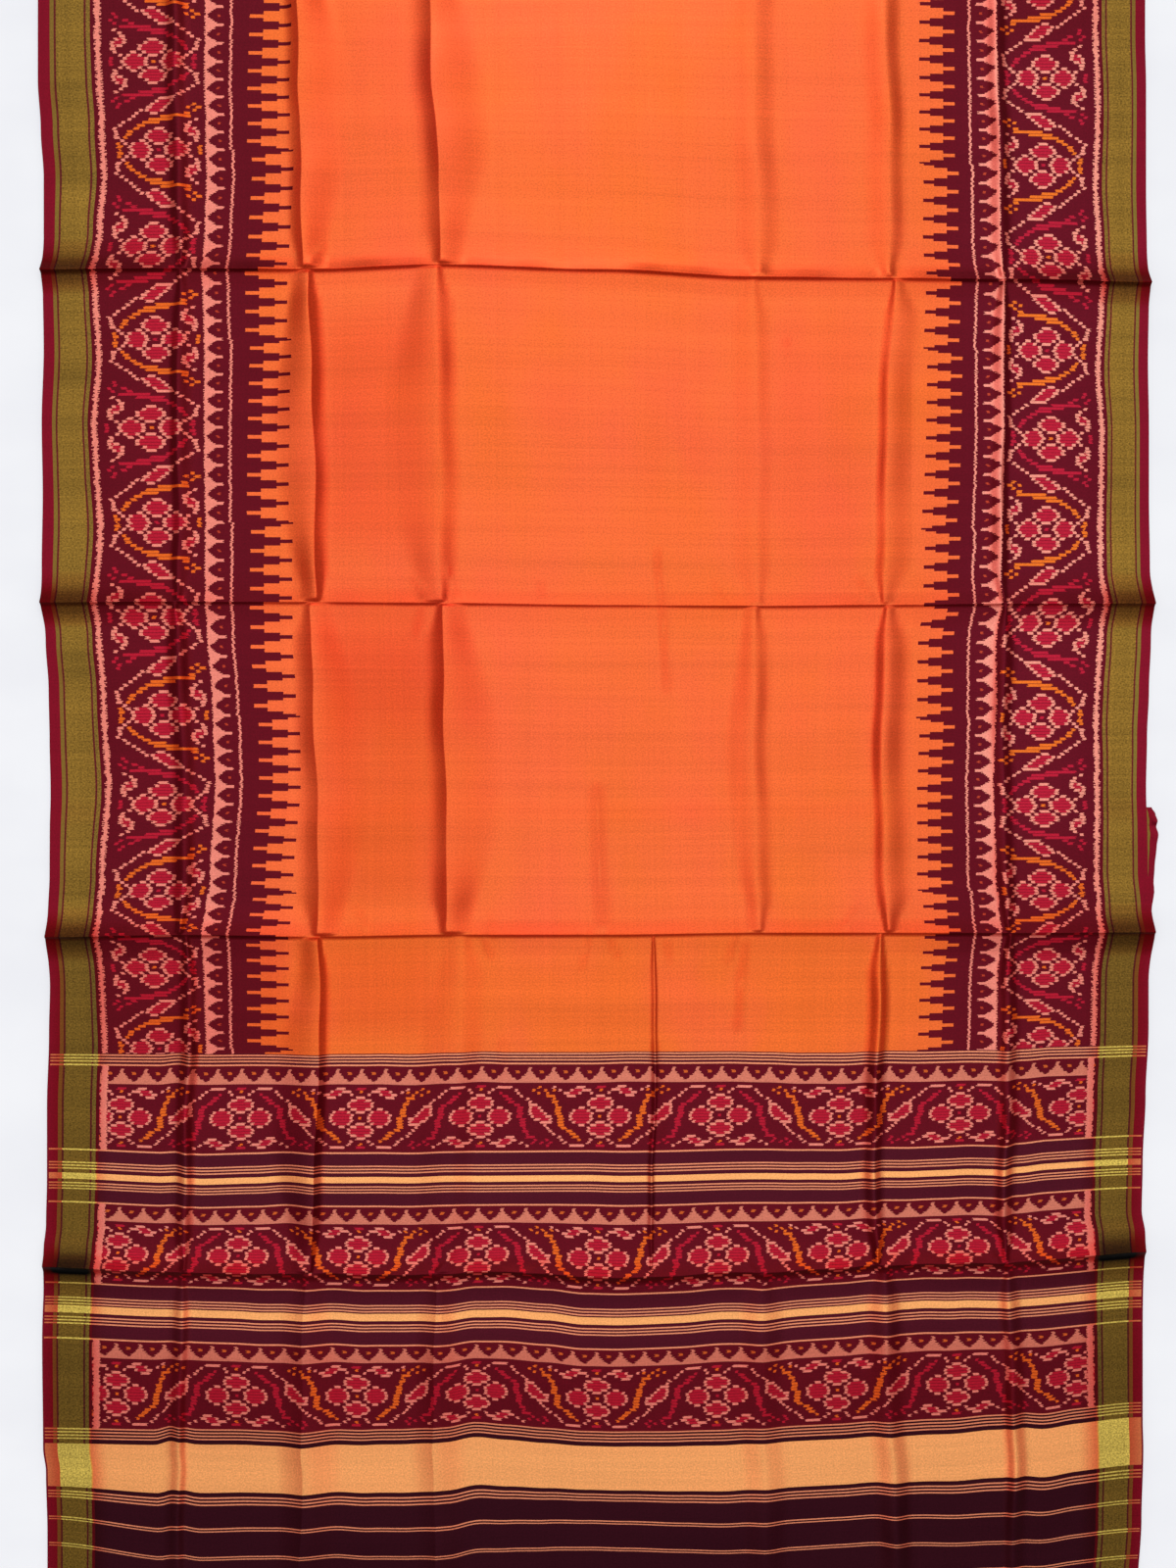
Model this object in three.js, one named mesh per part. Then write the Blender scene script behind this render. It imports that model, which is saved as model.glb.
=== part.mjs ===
// A silk saree with ikat borders, laid out flat with the rest of its length folded under it.
// Millimetres, +Z up. The origin is on the floor under the middle of the laid-out cloth.
// Two numbers place a point of the cloth: across, from the left selvedge, and along, from the
// edge of the end piece, which lies at -Y.
import * as THREE from 'three';

// Driving sizes
const clothWidth = 1140;
const clothLength = 5500;
const wall = 1.2;
const seam = 0.3;
const hiddenEndAt = 824; // where the cloth's hidden end lies, along the shown face
const overhang = 6; // of the end piece past the lower turn
const oneLayer = 2.2; // height of one hidden layer with the air in it
const twoLayers = 3.6;
const layerStep = 30; // length over which the hidden stack drops from two layers to one
const endDroop = 2.0;
const borderWidth = 245; // to the tips of its teeth

// Places along the cloth
const laidLength = (clothLength - hiddenEndAt + 2 * overhang) / 2;
const endBandSeam = 169.5; // above the wide pale band
const palluLength = 575;
const nearFieldEnd = 1385; // the third crosswise crease

// Derived heights and the turn at the far end
const turnRadius = (oneLayer + seam + wall) / 2;
const turnStart = laidLength - turnRadius;
const turnLength = Math.PI * turnRadius;

// The cloth's sides as it lies, a row for each place along it
const sides = [
  { at: 0, left: -574, right: 556 },
  { at: 71, left: -573, right: 560 },
  { at: 172, left: -578, right: 561 },
  { at: 345, left: -574, right: 562 },
  { at: 436, left: -573, right: 561 },
  { at: 520, left: -574, right: 565 },
  { at: 599, left: -571, right: 569 },
  { at: 697, left: -570, right: 570 },
  { at: 822, left: -570, right: 566 },
  { at: 900, left: -570, right: 567 },
  { at: 1038, left: -573, right: 569 },
  { at: 1208, left: -578, right: 568 },
  { at: 1385, left: -575, right: 567 },
  { at: 1492, left: -578, right: 565 },
  { at: 1624, left: -584, right: 565 },
  { at: 1980, left: -579, right: 567 },
  { at: laidLength, left: -581, right: 566 },
];

// Where the lengthwise folds cross the width
const across = {
  leftEdge: 0,
  first: 140,
  second: 276,
  third: 412,
  middle: 574,
  fifth: 739,
  sixth: 866,
  seventh: 990,
  rightEdge: clothWidth,
};

// How far a weft thread drifts towards the far end, at each lengthwise fold
const weftDrift = [
  { at: 0, leftEdge: 6, first: -11, second: -10, third: -8, middle: 0, fifth: 0, sixth: 4, seventh: 6, rightEdge: 18 },
  { at: 64, leftEdge: 5, first: -11, second: -11, third: -8, middle: 0, fifth: 0, sixth: 4, seventh: 6, rightEdge: 18 },
  { at: 166, leftEdge: 3, first: 2, second: -3, third: 4, middle: 0, fifth: 5, sixth: 9, seventh: 17, rightEdge: 28 },
  { at: 297, leftEdge: 12, first: 8, second: 0, third: 3, middle: 0, fifth: 5, sixth: 11, seventh: 18, rightEdge: 28 },
  { at: 444, leftEdge: 3, first: -3, second: -2, third: -1, middle: 0, fifth: 3, sixth: 5, seventh: 11, rightEdge: 18 },
  { at: 575, leftEdge: -1, first: -2, second: -3, third: 0, middle: 0, fifth: 1, sixth: 3, seventh: 5, rightEdge: 7 },
  { at: 697, leftEdge: -2, first: 0, second: -2, third: 0, middle: 0, fifth: 2, sixth: 2, seventh: 2, rightEdge: 3 },
  { at: 1038, leftEdge: 2, first: 3, second: 3, third: 2, middle: 0, fifth: -1, sixth: 0, seventh: 1, rightEdge: 1 },
  { at: 1385, leftEdge: -2, first: 0, second: 0, third: 5, middle: 0, fifth: -8, sixth: -9, seventh: -11, rightEdge: -15 },
  { at: 1640, leftEdge: 0, first: 0, second: -1, third: -2, middle: 0, fifth: -4, sixth: -6, seventh: -7, rightEdge: -7 },
  { at: turnStart, leftEdge: 0, first: 0, second: 0, third: 0, middle: 0, fifth: 0, sixth: 0, seventh: 0, rightEdge: 0 },
];

// The crosswise creases are ridges: height at the two edges and the middle, width on each side
const creases = [
  { at: 345, left: 6.5, middle: 6, right: 7.5, near: 34, far: 38 },
  { at: 697, left: 7, middle: 4, right: 7.5, near: 26, far: 30 },
  { at: 1038, left: 8, middle: 3.5, right: 8, near: 24, far: 32 },
  { at: 1385, left: 8.5, middle: 4.5, right: 8, near: 22, far: 34 },
  { at: 1730, left: 7.5, middle: 4, right: 8, near: 24, far: 30 },
  { at: 2075, left: 8, middle: 4.5, right: 7, near: 26, far: 30 },
];

// The lengthwise folds, panel by panel between the crosswise creases: where each runs at the
// panel's near and far side, its height (a negative one is a trough), its width on each side
const folds = [
  { panel: 0, fold: 'first', near: 135, far: 146, height: 4.5, left: 18, right: 9 },
  { panel: 0, fold: 'second', near: 262, far: 273, height: 5.0, left: 30, right: 9 },
  { panel: 0, fold: 'third', near: 404, far: 406, height: 3.5, left: 20, right: 18 },
  { panel: 0, fold: 'fifth', near: 748, far: 744, height: 2.0, left: 24, right: 24 },
  { panel: 0, fold: 'sixth', near: 886, far: 870, height: 4.0, left: 20, right: 16 },
  { panel: 0, fold: 'seventh', near: 1009, far: 1000, height: 4.0, left: 10, right: 14 },
  { panel: 1, fold: 'first', near: 146, far: 145, height: 4.5, left: 14, right: 8 },
  { panel: 1, fold: 'second', near: 276, far: 285, height: 3.5, left: 12, right: 10 },
  { panel: 1, fold: 'third', near: 410, far: 428, height: -1.3, left: 18, right: 22 },
  { panel: 1, fold: 'middle', near: 631, far: 628, height: 1.6, left: 7, right: 7 },
  { panel: 1, fold: 'fifth', near: 736, far: 718, height: 1.6, left: 10, right: 12 },
  { panel: 1, fold: 'sixth', near: 866, far: 860, height: 3.5, left: 10, right: 14 },
  { panel: 1, fold: 'seventh', near: 996, far: 993, height: 4.0, left: 10, right: 12 },
  { panel: 2, fold: 'first', near: 141, far: 138, height: 4.0, left: 14, right: 10 },
  { panel: 2, fold: 'second', near: 277, far: 272, height: 6.0, left: 28, right: 8 },
  { panel: 2, fold: 'third', near: 411, far: 409, height: 7.0, left: 34, right: 9 },
  { panel: 2, fold: 'middle', near: 567, far: 564, height: 1.6, left: 9, right: 7 },
  { panel: 2, fold: 'fifth', near: 740, far: 733, height: 4.5, left: 24, right: 14 },
  { panel: 2, fold: 'sixth', near: 861, far: 863, height: 5.0, left: 12, right: 14 },
  { panel: 2, fold: 'seventh', near: 990, far: 988, height: 3.5, left: 12, right: 12 },
  { panel: 3, fold: 'first', near: 141, far: 142, height: 3.5, left: 10, right: 14 },
  { panel: 3, fold: 'second', near: 286, far: 275, height: -1.4, left: 14, right: 12 },
  { panel: 3, fold: 'third', near: 414, far: 408, height: 4.0, left: 26, right: 20 },
  { panel: 3, fold: 'fifth', near: 741, far: 737, height: 2.5, left: 14, right: 16 },
  { panel: 3, fold: 'sixth', near: 866, far: 868, height: 4.0, left: 10, right: 12 },
  { panel: 3, fold: 'seventh', near: 986, far: 989, height: 4.0, left: 12, right: 10 },
  { panel: 4, fold: 'first', near: 143, far: 140, height: 3.5, left: 12, right: 10 },
  { panel: 4, fold: 'second', near: 268, far: 266, height: 5.5, left: 14, right: 10 },
  { panel: 4, fold: 'third', near: 411, far: 398, height: 5.5, left: 26, right: 10 },
  { panel: 4, fold: 'fifth', near: 744, far: 740, height: 3.5, left: 12, right: 16 },
  { panel: 4, fold: 'sixth', near: 872, far: 869, height: 4.5, left: 10, right: 14 },
  { panel: 4, fold: 'seventh', near: 988, far: 986, height: 3.5, left: 12, right: 12 },
  { panel: 5, fold: 'first', near: 141, far: 144, height: 3.5, left: 10, right: 12 },
  { panel: 5, fold: 'second', near: 280, far: 277, height: -1.2, left: 14, right: 12 },
  { panel: 5, fold: 'third', near: 409, far: 414, height: 4.5, left: 24, right: 16 },
  { panel: 5, fold: 'fifth', near: 738, far: 742, height: 3.0, left: 14, right: 14 },
  { panel: 5, fold: 'sixth', near: 868, far: 864, height: 4.0, left: 12, right: 12 },
  { panel: 5, fold: 'seventh', near: 992, far: 988, height: 3.5, left: 10, right: 12 },
  { panel: 6, fold: 'first', near: 142, far: 141, height: 3.0, left: 12, right: 10 },
  { panel: 6, fold: 'second', near: 272, far: 275, height: 5.0, left: 22, right: 10 },
  { panel: 6, fold: 'third', near: 410, far: 412, height: 5.0, left: 28, right: 10 },
  { panel: 6, fold: 'fifth', near: 741, far: 738, height: 3.0, left: 18, right: 14 },
  { panel: 6, fold: 'sixth', near: 866, far: 867, height: 4.0, left: 12, right: 14 },
  { panel: 6, fold: 'seventh', near: 989, far: 991, height: 3.0, left: 12, right: 12 },
];
const crossingFade = 26; // a lengthwise fold dies away over this much next to a crosswise crease
const turnFade = 40; // and over this much next to the turn
const crestPower = 1.35; // above 1, a ridge is steeper at its crest than at its foot

const smooth = (x) => {
  const c = Math.min(1, Math.max(0, x));
  return c * c * (3 - 2 * c);
};
const mix = (a, b, x) => a + (b - a) * x;

// A named column of a table, smoothly between its rows
function readTable(table, column, at) {
  const next = table.findIndex((row) => row.at >= at);
  if (next === 0) return table[0][column];
  if (next < 0) return table[table.length - 1][column];
  const low = table[next - 1];
  const high = table[next];
  return mix(low[column], high[column], smooth((at - low.at) / (high.at - low.at)));
}

// The weft drift between two lengthwise folds
const foldNames = Object.keys(across);
function driftAt(s, t) {
  const next = Math.max(1, foldNames.findIndex((name) => across[name] >= s));
  const low = foldNames[next - 1];
  const high = foldNames[next];
  const part = smooth((s - across[low]) / (across[high] - across[low]));
  return mix(readTable(weftDrift, low, t), readTable(weftDrift, high, t), part);
}

// A ridge's share of its height, from 1 at the crest to 0 at the foot
const ridge = (offset, before, after) => {
  const share = 1 - Math.abs(offset) / (offset < 0 ? before : after);
  return share <= 0 ? 0 : share ** crestPower;
};

// Panels between the crosswise creases
const panelEnds = [0, ...creases.map((crease) => crease.at), laidLength];
const panelOf = (t) => Math.max(0, panelEnds.findIndex((end) => end >= t) - 1);

// Where a lengthwise fold runs at a place along the cloth
function foldLine(fold, t) {
  const start = panelEnds[fold.panel];
  return mix(fold.near, fold.far, (t - start) / (panelEnds[fold.panel + 1] - start));
}

function creaseHeight(s, t) {
  let height = 0;
  for (const crease of creases) {
    const side = s < clothWidth / 2 ? crease.left : crease.right;
    const fromMiddle = Math.abs(s - clothWidth / 2) / (clothWidth / 2);
    const crest = mix(crease.middle, side, smooth(fromMiddle));
    height += crest * ridge(t - crease.at, crease.near, crease.far);
  }
  return height;
}

function foldHeight(s, t) {
  const panel = panelOf(t);
  const start = panelEnds[panel];
  const end = panelEnds[panel + 1];
  const fromStart = panel === 0 ? 1 : smooth((t - start) / crossingFade);
  const fade = Math.min(fromStart, smooth((end - t) / crossingFade));
  let height = 0;
  for (const fold of folds.filter((row) => row.panel === panel)) {
    height += fold.height * fade * ridge(s - foldLine(fold, t), fold.left, fold.right);
  }
  return height;
}

// Height of the shown face above the floor, before the turn at the far end
function faceHeight(s, t) {
  const stepAt = (t - hiddenEndAt + layerStep / 2) / layerStep;
  const stack = mix(twoLayers, oneLayer, smooth(stepAt)) + seam + wall;
  const droop = endDroop * Math.max(0, 1 - t / hiddenFrom);
  const toTurn = smooth((turnStart - t) / turnFade);
  return stack - droop + creaseHeight(s, t) + foldHeight(s, t) * toTurn;
}

// A point of the cloth, this deep below its shown face
function clothPoint(s, t, depth) {
  const left = readTable(sides, 'left', t);
  const right = readTable(sides, 'right', t);
  const x = mix(left, right, s / clothWidth);
  if (t <= turnStart) return [x, t + driftAt(s, t), faceHeight(s, t) - depth];
  const angle = (t - turnStart) / turnRadius;
  const radius = turnRadius - depth;
  return [x, turnStart + radius * Math.sin(angle), turnRadius + radius * Math.cos(angle)];
}

// Lines of points across the cloth, at each place along it that matters, closest at the creases
const hiddenFrom = overhang + 2; // where the hidden layers' lower turn lies
const leastStep = 0.9; // between two lines
const turnSteps = 5;
function alongLines() {
  const plain = [60, 115];
  const lines = [0, hiddenFrom, ...plain, endBandSeam, palluLength];
  lines.push(hiddenEndAt - layerStep / 2, hiddenEndAt + layerStep / 2);
  panelEnds.slice(1).forEach((end, panel) => {
    const start = panelEnds[panel];
    const last = panel === creases.length;
    const before = panel === 0 ? 0 : creases[panel - 1].far;
    const after = last ? turnFade : creases[panel].near;
    if (panel > 0) lines.push(start + before);
    lines.push(mix(start + before, end - after, 0.5));
    lines.push(end - after);
    if (!last) lines.push(end);
  });
  lines.push(turnStart);
  for (let step = 1; step <= turnSteps; step += 1) lines.push(turnStart + (turnLength * step) / turnSteps);
  return lines.sort((a, b) => a - b);
}

// A column that follows a lengthwise fold, at its crest or at one of its feet. In the field it
// stays this far inside the two border seams.
const seamClear = 3;
const plainFoot = 16; // where a panel has no such fold
const leftSeam = borderWidth;
const rightSeam = clothWidth - borderWidth;
function foldColumn(name, side, t) {
  const onCrease = panelEnds.slice(1, -1).some((end) => Math.abs(end - t) < 1);
  const panels = onCrease ? [panelOf(t - 1), panelOf(t + 1)] : [panelOf(Math.min(t, turnStart))];
  const found = folds.filter((row) => row.fold === name && panels.includes(row.panel));
  const beside = (line, left, right) => ({ left: line - left, crest: line, right: line + right })[side];
  if (!found.length) return beside(across[name], plainFoot, plainFoot);
  const places = found.map((row) => beside(foldLine(row, Math.min(t, turnStart)), row.left, row.right));
  const place = places.reduce((sum, one) => sum + one, 0) / places.length;
  const inField = name !== 'first' && name !== 'seventh';
  return inField ? Math.min(rightSeam - seamClear, Math.max(leftSeam + seamClear, place)) : place;
}

const selvedge = 54; // the crimson edge and the tissue stripe
const fixed = (s) => () => s;
const foldColumns = (name) => ['left', 'crest', 'right'].map((side) => (t) => foldColumn(name, side, t));
const leftColumns = [fixed(selvedge), fixed(100), ...foldColumns('first'), fixed(200)];
const fieldColumns = [
  ...foldColumns('second'), fixed(335), ...foldColumns('third'), fixed(490), ...foldColumns('middle'),
  fixed(680), ...foldColumns('fifth'), fixed(805), ...foldColumns('sixth'),
];
const rightColumns = [fixed(935), ...foldColumns('seventh'), fixed(1045), fixed(clothWidth - selvedge)];
const fullWidth = [...leftColumns, fixed(leftSeam), ...fieldColumns, fixed(rightSeam), ...rightColumns];
const along = alongLines();
const linesBetween = (start, end) => [
  start,
  ...along.filter((t, i) => t > start + leastStep && t < end - leastStep && t - along[i - 1] > leastStep),
  end,
];

// A closed body from a grid of outer points and a grid of inner points under them
function gridBody(outer, inner) {
  const rows = outer.length;
  const columns = outer[0].length;
  const points = [...outer.flat(), ...inner.flat()];
  const top = (r, c) => r * columns + c;
  const low = (r, c) => rows * columns + top(r, c);
  const faces = [];
  const quad = (a, b, c, d) => faces.push(a, b, c, a, c, d);
  for (let r = 0; r + 1 < rows; r += 1) {
    for (let c = 0; c + 1 < columns; c += 1) {
      quad(top(r, c), top(r, c + 1), top(r + 1, c + 1), top(r + 1, c));
      quad(low(r, c), low(r + 1, c), low(r + 1, c + 1), low(r, c + 1));
    }
    quad(top(r + 1, 0), low(r + 1, 0), low(r, 0), top(r, 0));
    quad(top(r, columns - 1), low(r, columns - 1), low(r + 1, columns - 1), top(r + 1, columns - 1));
  }
  for (let c = 0; c + 1 < columns; c += 1) {
    quad(top(0, c), low(0, c), low(0, c + 1), top(0, c + 1));
    quad(top(rows - 1, c + 1), low(rows - 1, c + 1), low(rows - 1, c), top(rows - 1, c));
  }
  return geometryFrom(points, faces);
}

function geometryFrom(points, faces) {
  const geometry = new THREE.BufferGeometry();
  geometry.setAttribute('position', new THREE.Float32BufferAttribute(points.flat(), 3));
  geometry.setIndex(faces);
  geometry.computeVertexNormals();
  return geometry;
}

// One stretch of the shown cloth, half a seam short of its neighbours on the sides that meet one
function stretch(from, to, columns, leftSide, rightSide) {
  const start = from === 0 ? 0 : from + seam / 2;
  const end = to > turnStart ? turnStart + turnLength : to - seam / 2;
  const lines = linesBetween(start, end);
  const sAt = (t) => [leftSide, ...columns.map((column) => column(t)), rightSide];
  const grid = (depth) => lines.map((t) => sAt(t).map((s) => clothPoint(s, t, depth)));
  return gridBody(grid(0), grid(wall));
}

// The hidden layers: one solid under the cloth, with rounded, layered edges and a flat underside
const rimBulge = 1.0;
const roundEdge = 1.3; // bulge of a single layer's edge
const rimGroove = -0.7; // between two layers
const cornerFrom = 690;
const cornerTuck = 8; // the hidden corner lies in this much of the right edge
const inset = { mean: 2.6, swing: 0.9, length: 97 };
function hiddenInset(t, side) {
  const uneven = inset.mean + inset.swing * Math.sin(t / inset.length + (side === 'left' ? 0 : 2));
  const byCorner = t > cornerFrom && t < hiddenEndAt + layerStep / 2 + 1;
  return side === 'right' && byCorner ? cornerTuck : uneven;
}

function underLayers() {
  const lines = linesBetween(hiddenFrom, turnStart - seam);
  const top = lines.map((t) => {
    const from = hiddenInset(t, 'left');
    const to = clothWidth - hiddenInset(t, 'right');
    return [from, ...fullWidth.map((column) => column(t)), to].map((s) => clothPoint(s, t, wall + seam));
  });
  const rows = top.length;
  const width = top[0].length;
  // Once round the outline, with the way out at each point
  const rim = [];
  for (let c = 0; c < width; c += 1) rim.push({ r: 0, c, out: [0, -1] });
  for (let r = 1; r < rows; r += 1) rim.push({ r, c: width - 1, out: [1, 0] });
  for (let c = width - 2; c >= 0; c -= 1) rim.push({ r: rows - 1, c, out: [0, 0] });
  for (let r = rows - 2; r > 0; r -= 1) rim.push({ r, c: 0, out: [-1, 0] });
  rim[0].out = [-Math.SQRT1_2, -Math.SQRT1_2];
  rim[width - 1].out = [Math.SQRT1_2, -Math.SQRT1_2];
  rim[width + rows - 2].out = [0, 0];
  const points = top.flat();
  const rings = [rim.map(({ r, c }) => r * width + c)];
  for (const share of [0.75, 0.5, 0.25, 0]) {
    const ring = rim.map(({ r, c, out }) => {
      const [x, y, z] = top[r][c];
      const layered = smooth((hiddenEndAt - lines[r]) / layerStep);
      const waist = share === 0.5 ? mix(roundEdge, rimGroove, layered) : rimBulge;
      const reach = share === 0 ? 0 : waist;
      points.push([x + out[0] * reach, y + out[1] * reach, z * share]);
      return points.length - 1;
    });
    rings.push(ring);
  }
  const faces = [];
  for (let r = 0; r + 1 < rows; r += 1) {
    for (let c = 0; c + 1 < width; c += 1) {
      const at = r * width + c;
      faces.push(at, at + 1, at + width + 1, at, at + width + 1, at + width);
    }
  }
  for (let ring = 0; ring + 1 < rings.length; ring += 1) {
    rim.forEach((_, i) => {
      const j = (i + 1) % rim.length;
      const upper = rings[ring];
      const lower = rings[ring + 1];
      faces.push(upper[i], lower[i], lower[j], upper[i], lower[j], upper[j]);
    });
  }
  // The flat underside: a fan at each end and strips between the two sides
  const foot = new Map(rim.map(({ r, c }, i) => [`${r},${c}`, rings[rings.length - 1][i]]));
  const footAt = (r, c) => foot.get(`${r},${c}`);
  const last = width - 1;
  for (let c = 0; c < last; c += 1) faces.push(footAt(0, c + 1), footAt(0, c), footAt(1, 0));
  faces.push(footAt(1, last), footAt(0, last), footAt(1, 0));
  for (let r = 1; r + 2 < rows; r += 1) {
    faces.push(footAt(r, 0), footAt(r + 1, last), footAt(r, last));
    faces.push(footAt(r, 0), footAt(r + 1, 0), footAt(r + 1, last));
  }
  const before = footAt(rows - 2, 0);
  faces.push(before, footAt(rows - 1, last), footAt(rows - 2, last));
  for (let c = 0; c < last; c += 1) faces.push(before, footAt(rows - 1, c), footAt(rows - 1, c + 1));
  return geometryFrom(points, faces);
}

// The corner of the hidden end, which slips out past the right edge and curls up at its tip
const cornerRows = [
  { at: 699, reach: 0.5, lift: 0, curl: 0 },
  { at: 718, reach: 2.0, lift: 0, curl: 0 },
  { at: 742, reach: 4.5, lift: 0, curl: 0 },
  { at: 766, reach: 7.0, lift: 0, curl: 0.3 },
  { at: 786, reach: 9.0, lift: 0.1, curl: 0.8 },
  { at: 798, reach: 10.5, lift: 0.3, curl: 2.0 },
  { at: 806, reach: 9.5, lift: 0.2, curl: 0.8 },
  { at: 812, reach: 10.0, lift: 0.5, curl: 2.4 },
  { at: 819, reach: 8.5, lift: 0.3, curl: 1.6 },
  { at: 826, reach: 5.5, lift: 0, curl: 0.4 },
];
function underCorner() {
  const inner = clothWidth - cornerTuck + roundEdge + seam;
  const shares = [0, 0.35, 0.65, 0.85, 1];
  const grid = (depth) => cornerRows.map((row) => shares.map((share) => {
    const s = mix(inner, clothWidth + row.reach, share);
    const [x, y] = clothPoint(s, row.at, 0);
    const raised = row.lift * smooth(share * 2) + row.curl * smooth((share - 0.5) * 2);
    return [x, y, raised + wall - depth];
  }));
  return gridBody(grid(0), grid(wall));
}

// The saree
const silk = {
  orange: { color: 0xe8622b, roughness: 0.5, metalness: 0 },
  maroon: { color: 0x6e1a33, roughness: 0.55, metalness: 0 },
  darkMaroon: { color: 0x43101f, roughness: 0.55, metalness: 0 },
  crimson: { color: 0xa3193c, roughness: 0.5, metalness: 0 },
};
const saree = new THREE.Group();
function addPiece(name, geometry, finish) {
  const mesh = new THREE.Mesh(geometry, new THREE.MeshStandardMaterial(finish));
  mesh.name = name;
  saree.add(mesh);
}

addPiece('pallu_end', stretch(0, endBandSeam, fullWidth, 0, clothWidth), silk.darkMaroon);
addPiece('pallu_bands', stretch(endBandSeam, palluLength, fullWidth, 0, clothWidth), silk.maroon);
for (const [name, from, to] of [['near', palluLength, nearFieldEnd], ['far', nearFieldEnd, laidLength]]) {
  const field = stretch(from, to, fieldColumns, leftSeam + seam / 2, rightSeam - seam / 2);
  addPiece(`field_${name}`, field, silk.orange);
  addPiece(`border_left_${name}`, stretch(from, to, leftColumns, 0, leftSeam - seam / 2), silk.maroon);
  addPiece(`border_right_${name}`, stretch(from, to, rightColumns, rightSeam + seam / 2, clothWidth), silk.maroon);
}
addPiece('under_layers', underLayers(), silk.crimson);
addPiece('under_corner', underCorner(), silk.crimson);

// The origin goes under the middle of the cloth as it lies
const middle = new THREE.Box3().setFromObject(saree).getCenter(new THREE.Vector3());
for (const piece of saree.children) piece.position.set(-middle.x, -middle.y, 0);

export default saree;
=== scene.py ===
import math

import bpy
import numpy as np
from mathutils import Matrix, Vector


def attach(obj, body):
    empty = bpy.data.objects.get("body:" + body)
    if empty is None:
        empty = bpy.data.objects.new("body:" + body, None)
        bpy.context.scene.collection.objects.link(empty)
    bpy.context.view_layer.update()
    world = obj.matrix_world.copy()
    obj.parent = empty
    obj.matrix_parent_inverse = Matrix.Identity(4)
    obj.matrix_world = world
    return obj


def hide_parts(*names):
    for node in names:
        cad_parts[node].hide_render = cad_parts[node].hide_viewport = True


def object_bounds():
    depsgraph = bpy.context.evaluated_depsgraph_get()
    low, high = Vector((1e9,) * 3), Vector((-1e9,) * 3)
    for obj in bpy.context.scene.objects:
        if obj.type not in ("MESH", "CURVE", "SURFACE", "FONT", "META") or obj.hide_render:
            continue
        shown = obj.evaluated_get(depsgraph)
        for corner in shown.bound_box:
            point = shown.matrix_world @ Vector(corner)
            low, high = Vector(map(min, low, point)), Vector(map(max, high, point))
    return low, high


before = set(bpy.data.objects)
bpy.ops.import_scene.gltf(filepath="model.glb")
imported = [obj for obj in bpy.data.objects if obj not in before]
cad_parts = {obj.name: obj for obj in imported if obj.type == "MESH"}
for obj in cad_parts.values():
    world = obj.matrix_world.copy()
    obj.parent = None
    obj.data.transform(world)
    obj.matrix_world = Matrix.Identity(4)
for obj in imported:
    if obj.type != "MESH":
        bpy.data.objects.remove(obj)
cadLow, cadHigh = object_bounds()
scene = bpy.context.scene
print("frame loaded, box", [round(v, 4) for v in (*cadLow, *cadHigh)])

# How the photo shows the cloth, in its pixels, and the size of one of them
photo = {
    "middle": (600, 800),
    "clothColumn": 612,       # where the cloth's measure across has its zero
    "edgeRow": 1640,          # where the end piece's edge lies, just below the photo
    "scale": 1.015,           # millimetres a pixel
    "camera": (1.27, 1.624),  # metres above the cloth, and how much of its length the picture takes
}

# How the saree lies, in millimetres: across from the left selvedge, along from the end piece's edge
cloth = {
    "width": 1140.0,
    "laid": 2344,             # from the end piece's edge to the turn
    "shown": 0.55,            # thickness of the silk as it is seen
    "wall": 1.2,              # thickness in the solids, which sets the turn
    "gap": 0.3,
    "oneLayer": 2.2,          # height of one hidden layer
    "twoLayers": 3.6,
    "hiddenEnd": 824,         # where the hidden end lies
    "layerStep": 30,
    "hiddenFrom": 8,          # where the lower turn lies
    "endDroop": 2.0,
    "turnFade": 40,           # the folds run out over this length before the turn
    "crestPower": 1.35,
    "sharpPower": 1.7,
    "middleRise": 0.35,       # share of a crease's rise that is left in the middle
    "edgeRise": (0.45, 0.5),  # where the rise towards the edges starts, and over what share of half the width
    "lipFall": 14,            # how far a lip falls away on its far side
    "borderSeam": 245.0,
    "bandSeam": 169.5,
    "pallu": 575.0,
    "nearEnd": 1393.0,
    "turnTip": 72,            # degrees round the turn to the frame's far side
    "cornerTip": (1150.5, 798.0),
}
crossing = {  # how a lengthwise fold runs out at a crosswise crease
    "fade": 3.5,              # it ends this close to the crease
    "low": (0.66, 44),        # share of its height that is left there, and over what length it grows back
    "pinch": (0.4, 44),       # share of its width, and over what length
    "slowPinch": (0.45, 150),  # the same for a wide side
    "wide": 30,
    "open": 99,               # the end piece's own edge is no crease, and counts as this far away
}
tilting = {"step": 0.7, "full": 0.55}  # how a slope is measured, and the slope that counts as steep
turnRadius = (cloth["oneLayer"] + cloth["gap"] + cloth["wall"]) / 2
turnStart = cloth["laid"] - turnRadius

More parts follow.
